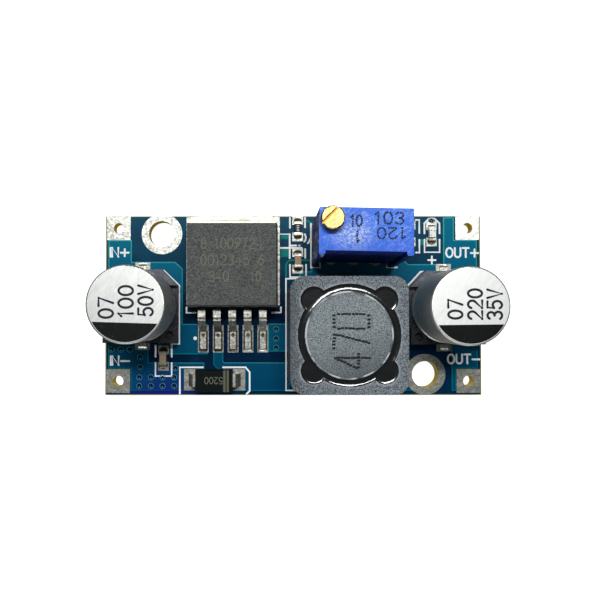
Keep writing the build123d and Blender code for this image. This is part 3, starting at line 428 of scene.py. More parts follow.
# Painted light and shade: lighter towards the back of each base, where the light falls, and darker at its front
base_plastic.use(
    base_color=base_plastic.blend(
        base_plastic.y.part(1.2, 2.8) * 0.75,
        base_plastic.blend(scuffed.part(0.3, 0.7), paint(6, 8, 10), paint(58, 60, 64)),
        base_plastic.blend(scuffed.part(0.3, 0.7), paint(76, 77, 86), paint(128, 130, 140)),
    ),
)
base_plastic.relief(base_plastic.noise(0.14, 3), 0.02)


core_low, core_high = size_of("inductor_drum")
CORE_X = (core_low.x + core_high.x) / 2
CORE_Y = (core_low.y + core_high.y) / 2
CORE_R = (core_high.x - core_low.x) / 2
BORE_R = 5.35
POCKET_R = 1.4
POCKET_AT = (BORE_R - 0.16) / math.sqrt(2)


def core_reach(f):
    """Distance from the inductor's axis, and from the shield's opening, more inside it."""
    across, along = f.x - CORE_X, f.y - CORE_Y
    reach = (across ** 2 + along ** 2) ** 0.5
    pocket = ((abs(across) - POCKET_AT) ** 2 + (abs(along) - POCKET_AT) ** 2) ** 0.5
    return reach, (BORE_R - reach).larger(POCKET_R - pocket)


def ferrite_finish(name, dark, light, rough, shaded):
    """Pressed and ground ferrite: grey grains, a few chips, a darker worn band near the drum's rim, painted shade to
    one side, painted glints, and painted highlights round the shield's opening and along the drum's edge.
    """
    f = Finish(name, roughness=rough)
    reach, inside = core_reach(f)
    grains = f.noise(0.11, 3, rough=0.8)
    glints = f.noise(0.12, 2, rough=0.8)
    chips = f.cells(0.9) < 0.09
    tone = f.blend(grains.part(0.41, 0.59), dark, light)
    # Painted shade, darker to one side
    tone = f.blend(shaded(f) * 0.58, tone, paint(38, 43, 45))
    tone = f.blend(f.noise(2.2, 3).part(0.5, 0.8) * 0.35, tone, paint(86, 92, 96))
    tone = f.blend(glints.part(0.62, 0.78) * 0.5, tone, paint(186, 194, 198))
    tone = f.blend(chips * 0.4, tone, paint(60, 66, 70))
    # Painted highlight on the shield round the rim of its opening
    edge = (inside.part(-0.28, -0.02) * (f.noise(0.4, 2).part(0.35, 0.6))) * (inside < 0.02)
    tone = f.blend(edge * 0.55, tone, paint(176, 184, 190))
    worn = reach.part(CORE_R - 0.42, CORE_R - 0.1) * (inside > 0.3) * f.noise(0.5, 3).part(0.3, 0.6)
    tone = f.blend(worn * 0.75, tone, paint(64, 70, 72))
    # Painted highlight along the drum's edge
    lip_highlight = reach.part(CORE_R - 0.21, CORE_R - 0.14) * (inside > 0.3) * f.noise(1.5, 2).part(0.42, 0.58)
    f.use(base_color=f.blend(lip_highlight, tone, paint(206, 213, 216)))
    return f.relief(grains + glints * 0.6 - chips * 0.8, 0.035)


# Painted shade: the shield darker towards its left side, the drum mostly towards its front
shield_ferrite = ferrite_finish(
    "ferrite_shield", paint(26, 34, 41), paint(146, 156, 163), 0.5, lambda f: f.x.part(CORE_X - 4.2, CORE_X - 6.4)
)
drum_ferrite = ferrite_finish(
    "ferrite_drum", paint(62, 70, 74), paint(160, 170, 174), 0.55,
    lambda f: (f.y + f.x * -0.3).part(CORE_Y - 1.2, CORE_Y - 6.4),
)

glue = Finish("glue", roughness=0.15, specular_ior_level=0.8, ior=1.6)
reach, inside = core_reach(glue)
ripple = glue.noise(0.9, 3)
rim_width = glue.noise(1.3, 2) * 0.4 + 0.14
climb = inside.part(rim_width, 0.0) ** 2 + (reach - CORE_R).part(0.45, 0.0) ** 2
glue.use(base_color=glue.blend(ripple, paint(3, 4, 5), paint(20, 23, 25)))
glue.relief(climb * 0.9 + ripple * 0.25 + glue.noise(0.5, 2) * 0.03, 0.09)

copper_wire = Finish("copper_wire", metallic=1.0, roughness=0.3)
turns = (copper_wire.z * (2 * math.pi / 0.42)).sine()
copper_wire.use(
    base_color=copper_wire.blend(copper_wire.noise(0.4, 2), metal(226, 140, 92), metal(180, 96, 58))
)
copper_wire.relief(turns * 0.5 + 0.5, 0.1)

blue = Finish("adjuster_blue", roughness=0.42, specular_ior_level=0.3)
flecks = blue.noise(0.34, 4, stretch=(1.6, 1, 1), turn=0.7, rough=0.68)
spots = blue.noise(0.22, 3, rough=0.7)
rubbed = blue.noise(2.4, 2).part(0.42, 0.62)
house_low, house_high = size_of("adjuster_housing")
# Painted sheen: a mottled whitish patch on the top, where the light is reflected
SHEEN_PATCH_AT = (house_low.x + 3.5, house_low.y + 2.5)
sheen_patch = (((blue.x - SHEEN_PATCH_AT[0]) * 0.8) ** 2 + (blue.y - SHEEN_PATCH_AT[1]) ** 2) ** 0.5
face_up = blue.add("ShaderNodeNewGeometry", output="Normal")
face_up = blue.add("ShaderNodeSeparateXYZ", None, {0: face_up}, "Z")
top_tone = blue.blend(
    flecks.part(0.5, 0.74) * 0.6,
    blue.blend(blue.noise(1.6, 2), paint(22, 88, 212), paint(56, 122, 242)),
    paint(156, 190, 252),
)
top_tone = blue.blend(sheen_patch.part(2.1, 0.3) * spots.part(0.42, 0.62) * 0.75, top_tone, paint(226, 234, 248))
# Painted shade: the top darker towards its front edge
near_front = blue.y.part(house_low.y + 2.4, house_low.y + 0.7)
top_tone = blue.blend(near_front * 0.65, top_tone, paint(14, 80, 204))
# Painted reflection: pale streaks on the left side
reflection_streaks = blue.noise(0.45, 2, stretch=(1, 1, 7)).part(0.56, 0.68) * (blue.x < house_low.x + 0.8)
shaded_side_tone = blue.blend(reflection_streaks * 0.7, paint(6, 30, 104), paint(160, 192, 236))
# Painted shade: faces that don't face up are a much darker blue
blue.use(
    base_color=blue.blend(face_up.part(0.3, 0.8), shaded_side_tone, top_tone),
    roughness=0.5 - spots.part(0.45, 0.65) * rubbed * 0.32,
)
blue.relief(flecks + spots * 0.5, 0.035)

SLOT_TURN = math.radians(46)
brass = Finish("screw_brass", metallic=1.0)
strokes = brass.noise(0.12, 4, stretch=(6, 1, 6), turn=SLOT_TURN, rough=0.7)
slot_shade = brass.z < (size_of("adjuster_screw")[1].z - 0.2)
brass.use(
    base_color=brass.blend(
        slot_shade * 0.75,
        brass.blend(strokes.part(0.35, 0.75), metal(171, 143, 92), metal(112, 88, 46)),
        metal(120, 82, 26),
    ),
    roughness=strokes * 0.25 + 0.22,
)
brass.relief(strokes, 0.02)


def plain_finish(name, first, second, size, rough, depth, **constants):
    """Two tones in lumps of a size, with a fine relief."""
    f = Finish(name, roughness=rough, **constants)
    f.use(base_color=f.blend(f.noise(size, 3), first, second))
    return f.relief(f.noise(size * 0.6, 2), depth)


ring_rubber = plain_finish("ring_rubber", paint(22, 22, 24), paint(46, 46, 48), 0.2, 0.6, 0.01)
wheel_plastic = plain_finish("wheel_plastic", paint(232, 230, 220), paint(210, 206, 194), 0.5, 0.45, 0.01)
wiper_metal = plain_finish("wiper_metal", metal(224, 200, 130), metal(190, 160, 94), 0.3, 0.3, 0.005, metallic=1.0)
ceramic = plain_finish("element_ceramic", paint(238, 236, 230), paint(214, 212, 206), 0.4, 0.6, 0.01)
seal_resin = plain_finish("seal_resin", paint(196, 172, 112), paint(160, 134, 80), 0.8, 0.35, 0.03)
resistor_black = plain_finish("resistor_black", paint(12, 14, 16), paint(38, 42, 46), 0.3, 0.3, 0.006)
capacitor_tan = plain_finish("capacitor_tan", paint(176, 156, 128), paint(140, 120, 96), 0.25, 0.45, 0.008)
lamp_plastic = plain_finish("lamp_plastic", paint(246, 246, 240), paint(220, 224, 210), 0.3, 0.4, 0.006)
lamp_resin = plain_finish(
    "lamp_resin", (0.99, 0.99, 0.97, 1), (0.88, 0.93, 0.88, 1), 0.3, 0.3, 0.01
)
can_ink = plain_finish("can_ink", paint(26, 28, 40), paint(44, 46, 58), 0.15, 0.5, 0.003)
sector_ink = Finish("can_sector_ink", roughness=0.4)
# Painted glints: pale specks in the ink
glint_specks = sector_ink.noise(0.16, 2, rough=0.8)
sector_ink.use(
    base_color=sector_ink.blend(
        glint_specks.part(0.7, 0.78), sector_ink.blend(sector_ink.noise(0.8, 3), paint(0, 3, 2), paint(17, 22, 19)),
        paint(130, 134, 132),
    ),
)
sector_ink.relief(sector_ink.noise(0.2, 2), 0.006)
body_ink = plain_finish("body_ink", paint(14, 16, 20), paint(40, 44, 52), 0.12, 0.55, 0.003)
laser_mark = plain_finish("laser_mark", paint(128, 130, 112), paint(84, 88, 78), 0.12, 0.7, 0.003)
lamp_green = plain_finish("lamp_green", paint(90, 160, 120), paint(60, 130, 96), 0.1, 0.5, 0.002)
# Painted shade inside each via and a painted glint at its front; the ring is the mask over its copper
via_shade = plain_finish("via_shade", paint(0, 8, 26), paint(0, 20, 44), 0.2, 0.3, 0.004)
via_ring = plain_finish("via_ring", paint(64, 140, 138), paint(24, 104, 116), 0.3, 0.3, 0.004)
via_glint = plain_finish("via_glint", paint(196, 204, 220), paint(120, 130, 150), 0.3, 0.3, 0.004)

NODE_FINISH = {
    "circuit_board": board_mask, "board_terminals": barrel_tin, "mounting_rings": barrel_tin,
    "via_barrels": via_mask, "adjuster_pads": tinned_copper, "component_lands": tinned_copper,
    "input_capacitor_base": base_plastic, "output_capacitor_base": base_plastic,
    "input_capacitor_can": aluminium, "output_capacitor_can": aluminium,
    "regulator_mold": mold, "regulator_leads": lead_metal, "regulator_tab": tab_metal, "diode_body": diode_mold,
    "inductor_shield": shield_ferrite, "inductor_drum": drum_ferrite,
    "inductor_glue": glue, "inductor_winding": copper_wire,
    "feedback_resistor_body": resistor_black, "lamp_resistor_body": resistor_black,
    "feedback_capacitor_body": capacitor_tan, "input_chip_capacitor_body": capacitor_tan,
    "lamp_base_body": lamp_plastic, "lamp_lens": lamp_resin,
    "adjuster_housing": blue, "adjuster_screw": brass, "adjuster_ring": ring_rubber,
    "adjuster_wheel": wheel_plastic, "adjuster_wiper": wiper_metal,
    "adjuster_element": ceramic, "adjuster_seal": seal_resin,
    "adjuster_solder": solder, "solder_fillets": solder,
}
for node_name, node in nodes.items():
    finish = NODE_FINISH.get(node_name, end_tin)
    node.data.materials.clear()
    node.data.materials.append(finish.material)


def keep(mesh, name, body="module"):
    """A finished mesh as a piece at the origin that rides on a body."""
    piece = bpy.data.objects.new(name, mesh)
    bpy.context.scene.collection.objects.link(piece)
    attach(piece, body)
    return piece


# Strokes of print: flat strips along lines with round ends
def stroke_tree():
    """Geometry nodes that lay a flat strip along each line, with a round at each point."""
    group = bpy.data.node_groups.new("printed_strokes", "GeometryNodeTree")
    sockets = (
        ("Lines", "INPUT", "NodeSocketGeometry"), ("Width", "INPUT", "NodeSocketFloat"),
        ("Thickness", "INPUT", "NodeSocketFloat"), ("Finish", "INPUT", "NodeSocketMaterial"),
        ("Print", "OUTPUT", "NodeSocketGeometry"),
    )
    for name, way, kind in sockets:
        group.interface.new_socket(name, in_out=way, socket_type=kind)
    tree = Tree(group)
    entry = group.nodes.new("NodeGroupInput")
    lines, width, thickness, finish = (Wire(tree, entry.outputs[i]) for i in range(4))
    curve = tree.add("GeometryNodeMeshToCurve", None, {0: lines})
    curve = tree.add("GeometryNodeSetCurveNormal", {"mode": "Z_UP"}, {0: curve})
    profile = tree.add("GeometryNodeCurvePrimitiveQuadrilateral", None, {0: width, 1: thickness})
    strips = tree.add("GeometryNodeCurveToMesh", None, {"Curve": curve, "Profile Curve": profile, "Fill Caps": True})
    dot = tree.add(
        "GeometryNodeMeshCylinder", None,
        {"Vertices": 12, "Radius": width * 0.5, "Depth": thickness * 0.8},
    )
    spots = tree.add("GeometryNodeMergeByDistance", None, {0: lines, "Distance": width * 0.2})
    rounds = tree.add("GeometryNodeInstanceOnPoints", None, {"Points": spots, "Instance": dot})
    join = group.nodes.new("GeometryNodeJoinGeometry")
    for part in (rounds, strips):
        group.links.new(part.socket, join.inputs[0])
    real = tree.add("GeometryNodeRealizeInstances", None, {0: Wire(tree, join.outputs[0])})
    flat = tree.add("GeometryNodeSetShadeSmooth", None, {"Geometry": real, "Shade Smooth": False})
    done = tree.add("GeometryNodeSetMaterial", None, {"Geometry": flat, "Material": finish})
    leave = group.nodes.new("NodeGroupOutput")
    group.links.new(done.socket, leave.inputs[0])
    return group


def dash_tree():
    """Geometry nodes that lay short dashes along each line at an even pitch."""
    group = bpy.data.node_groups.new("printed_dashes", "GeometryNodeTree")
    sockets = (
        ("Lines", "INPUT", "NodeSocketGeometry"), ("Pitch", "INPUT", "NodeSocketFloat"),
        ("Dash", "INPUT", "NodeSocketVector"), ("Stray", "INPUT", "NodeSocketVector"),
        ("Finish", "INPUT", "NodeSocketMaterial"),
        ("Print", "OUTPUT", "NodeSocketGeometry"),
    )
    for name, way, kind in sockets:
        group.interface.new_socket(name, in_out=way, socket_type=kind)
    tree = Tree(group)
    entry = group.nodes.new("NodeGroupInput")
    lines, pitch, size, stray, finish = (Wire(tree, entry.outputs[i]) for i in range(5))
    curve = tree.add("GeometryNodeMeshToCurve", None, {0: lines})
    points = tree.add("GeometryNodeResampleCurve", {"mode": "LENGTH"}, {"Curve": curve, "Length": pitch})
    off = tree.add("FunctionNodeRandomValue", {"data_type": "FLOAT_VECTOR"}, {0: (0, 0, 0), 1: stray})
    points = tree.add("GeometryNodeSetPosition", None, {"Geometry": points, "Offset": off})
    dash = tree.add("GeometryNodeMeshCube", None, {"Size": size})
    laid = tree.add("GeometryNodeInstanceOnPoints", None, {"Points": points, "Instance": dash})
    real = tree.add("GeometryNodeRealizeInstances", None, {0: laid})
    done = tree.add("GeometryNodeSetMaterial", None, {"Geometry": real, "Material": finish})
    leave = group.nodes.new("NodeGroupOutput")
    group.links.new(done.socket, leave.inputs[0])
    return group


STROKES = stroke_tree()
DASHES = dash_tree()


# Strokes that cross lie this far apart, so that no two faces share a plane
CROSSING_LIFT = 0.003


def lay(name, lines, tree, values, place=None, body="module"):
    """Run a printing tree over lines given in millimetres and keep the plain mesh it leaves."""
    verts, edges = [], []
    for count, line in enumerate(lines):
        lift = count % 4 * CROSSING_LIFT * MM
        closed = line[0] == line[-1] and len(line) > 2
        points = line[:-1] if closed else line
        first = len(verts)
        verts += [(x * MM, y * MM, lift) for x, y in points]
        edges += [(first + i, first + i + 1) for i in range(len(points) - 1)]
        if closed:
            edges.append((len(verts) - 1, first))
    mesh = bpy.data.meshes.new(name + "_lines")
    mesh.from_pydata(verts, edges, [])
    carrier = bpy.data.objects.new(name + "_lines", mesh)
    bpy.context.scene.collection.objects.link(carrier)
    modifier = carrier.modifiers.new("print", "NODES")
    modifier.node_group = tree
    for item in tree.interface.items_tree:
        if item.in_out == "INPUT" and item.name in values:
            modifier[item.identifier] = values[item.name]
    graph = bpy.context.evaluated_depsgraph_get()
    printed = bpy.data.meshes.new_from_object(carrier.evaluated_get(graph))
    printed.name = name
    carrier.modifiers.remove(modifier)
    bpy.data.objects.remove(carrier)
    printed.transform(place or Matrix.Identity(4))
    return keep(printed, name, body)


def ellipse(cx, cy, rx, ry, start=0, end=360, steps=18):
    """Points along an arc of an ellipse, by angle in degrees."""
    points = []
    for i in range(steps + 1):
        angle = math.radians(start + (end - start) * i / steps)
        points.append((round(cx + rx * math.cos(angle), 5), round(cy + ry * math.sin(angle), 5)))
    return points


# Drawn characters, each as its width and strokes, one unit high
GLYPHS = {
    "0": (0.62, [ellipse(0.31, 0.5, 0.31, 0.5)]),
    "1": (0.36, [[(0.02, 0.8), (0.2, 1), (0.2, 0)]]),
    "2": (0.6, [ellipse(0.3, 0.7, 0.29, 0.3, 165, -35, 10) + [(0, 0), (0.6, 0)]]),
    "3": (0.6, [ellipse(0.29, 0.755, 0.27, 0.245, 155, -90, 10), ellipse(0.29, 0.26, 0.3, 0.26, 90, -150, 12)]),
    "4": (0.64, [[(0.46, 0), (0.46, 1), (0, 0.3), (0.64, 0.3)]]),
    "5": (0.6, [[(0.56, 1), (0.09, 1), (0.04, 0.55)] + ellipse(0.29, 0.32, 0.31, 0.32, 130, -150, 12)]),
    "6": (0.6, [ellipse(0.3, 0.3, 0.29, 0.3), [(0.5, 1), (0.14, 0.66), (0.02, 0.36)]]),
    "7": (0.6, [[(0, 1), (0.6, 1), (0.22, 0)]]),
    "8": (0.6, [ellipse(0.3, 0.75, 0.25, 0.25), ellipse(0.3, 0.26, 0.3, 0.26)]),
    "9": (0.6, [ellipse(0.3, 0.7, 0.29, 0.3), [(0.58, 0.64), (0.46, 0.34), (0.1, 0)]]),
    "o": (0.62, [[(0, 0.14), (0, 0.86)], [(0.06, 1), (0.56, 1)], [(0.62, 0.86), (0.62, 0.14)],
                 [(0.56, 0), (0.06, 0)]]),
    "V": (0.66, [[(0, 1), (0.33, 0), (0.66, 1)]]),
    "I": (-0.07, [[(0, 0), (0, 1)]]),
    "N": (0.6, [[(0, 0), (0, 1), (0.6, 0), (0.6, 1)]]),
    "O": (0.72, [ellipse(0.36, 0.5, 0.36, 0.5)]),
    "U": (0.62, [[(0, 1)] + ellipse(0.31, 0.3, 0.31, 0.3, 180, 360, 10) + [(0.62, 1)]]),
    "T": (0.66, [[(0, 1), (0.66, 1)], [(0.33, 1), (0.33, 0)]]),
    "+": (0.8, [[(0, 0.45), (0.8, 0.45)], [(0.4, 0.05), (0.4, 0.85)]]),
    "-": (0.8, [[(0, 0.45), (0.8, 0.45)]]),
    " ": (0.6, []),
}
GLYPH_GAP = 0.24


def words(text, corner, width, height, turn=0):
    """Strokes of a text that fill a box from its lower left corner, turned in degrees about that corner."""
    cursor, lines = 0.0, []
    for letter in text:
        advance, strokes_of = GLYPHS[letter]
        lines += [[(cursor + x, y) for x, y in line] for line in strokes_of]
        cursor += advance + GLYPH_GAP
    natural = cursor - GLYPH_GAP
    angle = math.radians(turn)
    out = []
    for line in lines:
        out.append([])
        for x, y in line:
            u, v = x / natural * width, y * height
            out[-1].append((
                round(corner[0] + u * math.cos(angle) - v * math.sin(angle), 5),
                round(corner[1] + u * math.sin(angle) + v * math.cos(angle), 5),
            ))
    return out


def printed(name, lines, width, finish, level, thickness=0.02, body="module", plane=None):
    """Strokes of a width on a level surface, or on a plane given as a matrix."""
    place = plane or Matrix.Translation((0, 0, (level + thickness / 2) * MM))
    values = {"Width": width * MM, "Thickness": thickness * MM, "Finish": finish.material}
    return lay(name, lines, STROKES, values, place, body)


# Copper under the mask: raised areas whose stepped rims carry a painted highlight
COPPER_HEIGHT = 0.035
COPPER_STEP = 0.12
COPPER_AREAS = {
    "input": [(-21.2, 7.5), (-18.51, 7.5), (-18.51, 4.99), (-13.5, 4.99), (-12.65, 4.19), (-12.65, -2.13),
              (-9.79, -2.13), (-9.79, -5.61), (-15.4, -5.61), (-15.4, -3.3), (-21.2, -3.3)],
    "input_ground": [(-21.2, -4.39), (-16.55, -4.39), (-16.55, -6.54), (-10.15, -6.54), (-10.15, -9.75),
                     (-18.55, -9.75), (-18.55, -7.25), (-21.2, -7.25)],
    "switched": [(-9.14, -5.0), (-8.0, -5.0), (-8.0, -6.39), (-7.86, -6.53), (-0.4, -6.53), (-0.4, -9.78),
                 (-8.5, -9.78), (-8.5, -7.4), (-9.14, -6.8)],
    "vias": [(-2.86, -2.1), (-0.4, -2.1), (-0.4, -5.3), (-2.86, -5.3)],
    "output": [(17.24, 10.1), (18.48, 10.1), (18.48, 7.5), (21.1, 7.5), (21.1, -3.2), (0.74, -3.2),
               (0.74, 3.9), (2.05, 3.9), (2.05, 5.31), (12.59, 5.31),
               (13.21, 4.71), (17.24, 4.71)],
    "output_ground": [(18.1, -4.4), (21.1, -4.4), (21.1, -7.25), (18.6, -7.25), (18.6, -9.78), (18.1, -9.78)],
    "corner": [(11.2, -9.1), (13.6, -9.1), (13.6, -9.78), (11.2, -9.78)],
}
NARROW_AREAS = {
    "sense_upper": [(-1.44, 8.04), (-0.5, 8.04), (-0.5, 7.58), (-1.44, 7.58)],
    "sense_lower": [(-1.44, 6.5), (-0.5, 6.5), (-0.5, 5.52), (-1.44, 5.52)],
    "lamp_link": [(14.4, 7.6), (15.05, 7.6), (15.05, 6.9), (14.4, 6.9)],
}


def copper(name, outline, finish=copper_mask, step=step_highlight_mask):
    """A thin closed plate over an outline, its sloped rim in the step's own finish, by default a painted highlight.
    """
    work = bmesh.new()
    top = work.faces.new([work.verts.new((x * MM, y * MM, DECK * MM)) for x, y in outline])
    work.normal_update()
    if top.normal.z < 0:
        top.normal_flip()
    under = work.faces.new([work.verts.new(v.co) for v in reversed(top.verts[:])])
    pairs = list(zip(top.verts[:], reversed(under.verts[:])))
    inset = bmesh.ops.inset_region(
        work, faces=[top], thickness=COPPER_STEP * MM, use_even_offset=True, use_boundary=True
    )
    for face in inset["faces"]:
        face.material_index = 1
    for vert in top.verts:
        vert.co.z += COPPER_HEIGHT * MM
    bmesh.ops.remove_doubles(work, verts=work.verts, dist=1e-7)
    mesh = bpy.data.meshes.new("copper_" + name)
    work.to_mesh(mesh)
    work.free()
    mesh.materials.append(finish.material)
    mesh.materials.append(step.material)
    return keep(mesh, "copper_" + name)


for area, outline in COPPER_AREAS.items():
    copper(area, outline)
for area, outline in NARROW_AREAS.items():
    copper(area, outline, trace_mask, trace_mask)

# Plugged vias: a dark plug as painted shade in the hole and a small pale bead as a painted glint, in a pale ring of
# mask
def via_tree():
    """Geometry nodes that set a ring, a plug of painted shade and a bead of painted glint at each point."""
    group = bpy.data.node_groups.new("plugged_vias", "GeometryNodeTree")
    sockets = (
        ("Lines", "INPUT", "NodeSocketGeometry"), ("Ring", "INPUT", "NodeSocketFloat"),
        ("Wire", "INPUT", "NodeSocketFloat"), ("Finish", "INPUT", "NodeSocketMaterial"),
        ("Shade", "INPUT", "NodeSocketMaterial"), ("Glint", "INPUT", "NodeSocketMaterial"),
        ("Print", "OUTPUT", "NodeSocketGeometry"),
    )
    for name, way, kind in sockets:
        group.interface.new_socket(name, in_out=way, socket_type=kind)
    tree = Tree(group)
    entry = group.nodes.new("NodeGroupInput")
    points, ring, wire, finish, shade, glint = (Wire(tree, entry.outputs[i]) for i in range(6))
    circle = tree.add("GeometryNodeCurvePrimitiveCircle", None, {"Resolution": 20, "Radius": ring})
    profile = tree.add("GeometryNodeCurvePrimitiveCircle", None, {"Resolution": 6, "Radius": wire})
    hoop = tree.add("GeometryNodeCurveToMesh", None, {"Curve": circle, "Profile Curve": profile})
    hoop = tree.add("GeometryNodeSetMaterial", None, {"Geometry": hoop, "Material": finish})
    plug = tree.add(
        "GeometryNodeMeshCylinder", None, {"Vertices": 20, "Radius": ring * 0.6, "Depth": wire}
    )
    plug = tree.add("GeometryNodeSetMaterial", None, {"Geometry": plug, "Material": shade})
    bead = tree.add("GeometryNodeMeshUVSphere", None, {"Segments": 8, "Rings": 6, "Radius": wire * 1.3})
    low = tree.add("ShaderNodeCombineXYZ", None, {"Y": ring * -0.36, "Z": wire * 0.3})
    bead = tree.add("GeometryNodeTransform", None, {"Geometry": bead, "Translation": low})
    bead = tree.add("GeometryNodeSetMaterial", None, {"Geometry": bead, "Material": glint})
    join = group.nodes.new("GeometryNodeJoinGeometry")
    for part in (hoop, plug, bead):
        laid = tree.add("GeometryNodeInstanceOnPoints", None, {"Points": points, "Instance": part})
        group.links.new(laid.socket, join.inputs[0])
    real = tree.add("GeometryNodeRealizeInstances", None, {0: Wire(tree, join.outputs[0])})
    leave = group.nodes.new("NodeGroupOutput")
    group.links.new(real.socket, leave.inputs[0])
    return group


def islands(node):
    """Middle of each separate piece of a frame node's mesh, in millimetres."""
    work = bmesh.new()
    work.from_mesh(nodes[node].data)
    bmesh.ops.remove_doubles(work, verts=work.verts, dist=1e-6)
    left_over = set(work.verts)
    middles = []
    while left_over:
        island, fresh = set(), [left_over.pop()]
        while fresh:
            vert = fresh.pop()
            island.add(vert)
            for edge in vert.link_edges:
                far = edge.other_vert(vert)
                if far in left_over:
                    left_over.remove(far)
                    fresh.append(far)
        xs, ys = [v.co.x for v in island], [v.co.y for v in island]
        middles.append(((min(xs) + max(xs)) / 2 / MM, (min(ys) + max(ys)) / 2 / MM))
    work.free()
    return middles


lay(
    "via_rings", [[place] for place in islands("via_barrels")], via_tree(),
    {"Ring": 0.31 * MM, "Wire": 0.045 * MM, "Finish": via_ring.material, "Shade": via_shade.material,
     "Glint": via_glint.material},
    Matrix.Translation((0, 0, (DECK + COPPER_HEIGHT + 0.02) * MM)),
)

# White legend on the board
LEGEND_LEVEL = DECK + 0.025
LEGEND_WIDE = 0.2
LEGEND = [
    [(-14.84, 3.99), (-13.04, 2.26), (-13.02, -4.4), (-13.95, -4.45)],
    [(13.06, 2.15), (14.61, 3.82), (14.95, 3.84)],
    [(-12.2, -0.23), (-12.2, -0.86), (-11.2, -0.86)],
    [(-1.4, -0.23), (-1.4, -0.82), (-2.4, -0.86)],
    [(1.5, 3.1), (-0.82, 3.03), (-0.82, -9.72), (0.7, -9.72)],
    [(-12.95, -10.1), (-12.95, -7.09), (-10.32, -7.09)],
    [(-8.02, -7.09), (-5.45, -7.09), (-4.98, -7.64), (-4.98, -9.78), (-5.32, -10.11)],
    [(-15.74, -4.6), (-15.74, -5.87)],
    [(-15.74, -6.59), (-15.74, -8.08), (-13.89, -8.08), (-13.89, -6.59)],
    [(-13.89, -5.87), (-13.89, -4.6)],
    [(-0.35, 10.05), (-0.35, 8.9)],
    [(1.38, 10.05), (1.38, 8.95)],
    [(-0.38, 8.17), (-0.38, 5.4)],
    [(-0.38, 6.85), (0.36, 6.85)],
    [(0.7, 6.85), (0.76, 6.85)],
    [(-1.45, 6.58), (0.98, 6.58)],
    [(1.4, 6.45), (1.4, 5.45)],
    [(-0.35, 4.64), (-0.35, 3.23), (1.49, 3.22), (1.49, 4.64)],
    [(2.06, 9.35), (2.05, 4.32), (3.09, 4.31), (3.1, 5.11), (10.75, 5.1), (10.74, 4.33), (11.9, 4.33)],
    [(15.09, 8.25), (15.09, 9.4), (15.62, 9.95), (16.25, 9.95), (16.82, 9.4), (16.82, 8.25)],
    [(15.09, 7.52), (15.09, 6.08), (16.82, 6.08), (16.82, 7.52)],
    [(14.1, 9.79), (14.5, 9.79), (14.5, 8.29)],
    [(14.5, 7.49), (14.5, 6.04), (14.1, 6.04)],
    [(15.5, 5.17), (16.34, 5.17)],
    [(15.92, 4.75), (15.92, 5.59)],
    [(1.36, 8.15), (1.48, 7.85), (1.44, 7.5), (1.3, 7.3)],
    [(1.95, 7.6), (1.86, 7.3), (1.7, 7.12)],
]
printed("legend_outlines", LEGEND, LEGEND_WIDE, silk, LEGEND_LEVEL, 0.04)
labels = (
    words("IN+", (-20.95, 5.58), 2.1, 1.03)
    + words("IN-", (-20.86, -6.82), 2.12, 1.0)
    + words("OUT+", (17.56, 5.5), 3.68, 1.06)
    + words("OUT-", (17.66, -6.66), 3.64, 1.03)
)
printed("legend_terminal_labels", labels, 0.21, silk, LEGEND_LEVEL, 0.04)
printed("legend_first_lead_dot", [[(-11.23, -3.77), (-11.2, -3.77)]], 0.42, silk, LEGEND_LEVEL, 0.04)

# Narrow traces under the mask
TRACES = [
    [(-0.8, 1.5), (-0.8, 4.62), (-0.66, 4.96), (-0.32, 5.16), (1.95, 5.16)],
    [(1.05, 9.62), (1.55, 9.77), (2.2, 9.36)],
]
printed("trace_runs", TRACES, 0.2, trace_mask, DECK, 0.04)

# Painted highlight: a thin pale line beside the regulator's land, along the edge of a trace, in the legend's white
printed("trace_edge_highlight", [[(-1.5, 8.17), (-0.4, 8.17)]], 0.12, silk, DECK, 0.04)


# Capacitor tops: a black sector on the minus side and the value printed across
def can_top(name, rows, sector_at, turn):
    """Print of one can: rows of (text, offset across, start along, length, height) from its middle."""
    low, high = size_of(name + "_capacitor_can")
    cx, cy = (low.x + high.x) / 2, (low.y + high.y) / 2
    radius = (high.x - low.x) / 2 - 0.24
    level = high.z
    reach = math.degrees(math.asin(sector_at))
    work = bmesh.new()
    arc = ellipse(0, 0, radius, radius, 180 + reach + turn, 360 - reach + turn, 48)
    rim = [work.verts.new(((cx + x) * MM, (cy + y) * MM, (level + 0.004) * MM)) for x, y in arc]
    face = work.faces.new(rim)
    work.normal_update()
    if face.normal.z < 0:
        face.normal_flip()
    out = bmesh.ops.extrude_face_region(work, geom=[face])
    for item in out["geom"]:
        if isinstance(item, bmesh.types.BMVert):
            item.co.z += 0.008 * MM
    bmesh.ops.recalc_face_normals(work, faces=work.faces)
    mesh = bpy.data.meshes.new(name + "_can_sector")
    work.to_mesh(mesh)
    work.free()
    mesh.materials.append(sector_ink.material)
    keep(mesh, name + "_can_sector")
    lines = []
    for text, across, along, length, height in rows:
        lines += words(text, (cx + across, cy + along), length, height, 90)
    printed(name + "_can_value", lines, 0.24, can_ink, level + 0.004, 0.01)


can_top(
    "input", [("07", -1.2, -1.33, 1.98, 1.44), ("100", 0.78, -1.2, 3.02, 1.44), ("50V", 2.76, -1.12, 3.0, 1.44)],
    0.487, -1.7,
)
can_top(
    "output", [("07", -0.87, -1.25, 1.86, 1.4), ("220", 1.1, -1.3, 2.95, 1.4), ("35V", 3.07, -1.32, 2.95, 1.44)],
    0.497, 0.6,
)

# Regulator's laser marks: plain numbers, faint
reg_x = (reg_low.x + reg_high.x) / 2
marks = (
    words("8 1009724", (reg_x - 3.3, 6.1), 6.6, 1.1)
    + words("0012345 6", (reg_x - 3.35, 4.3), 6.8, 1.1)
    + words("340   10", (reg_x - 2.4, 2.5), 5.6, 1.1)
)
printed("regulator_marks", marks, 0.11, laser_mark, reg_high.z, 0.006)

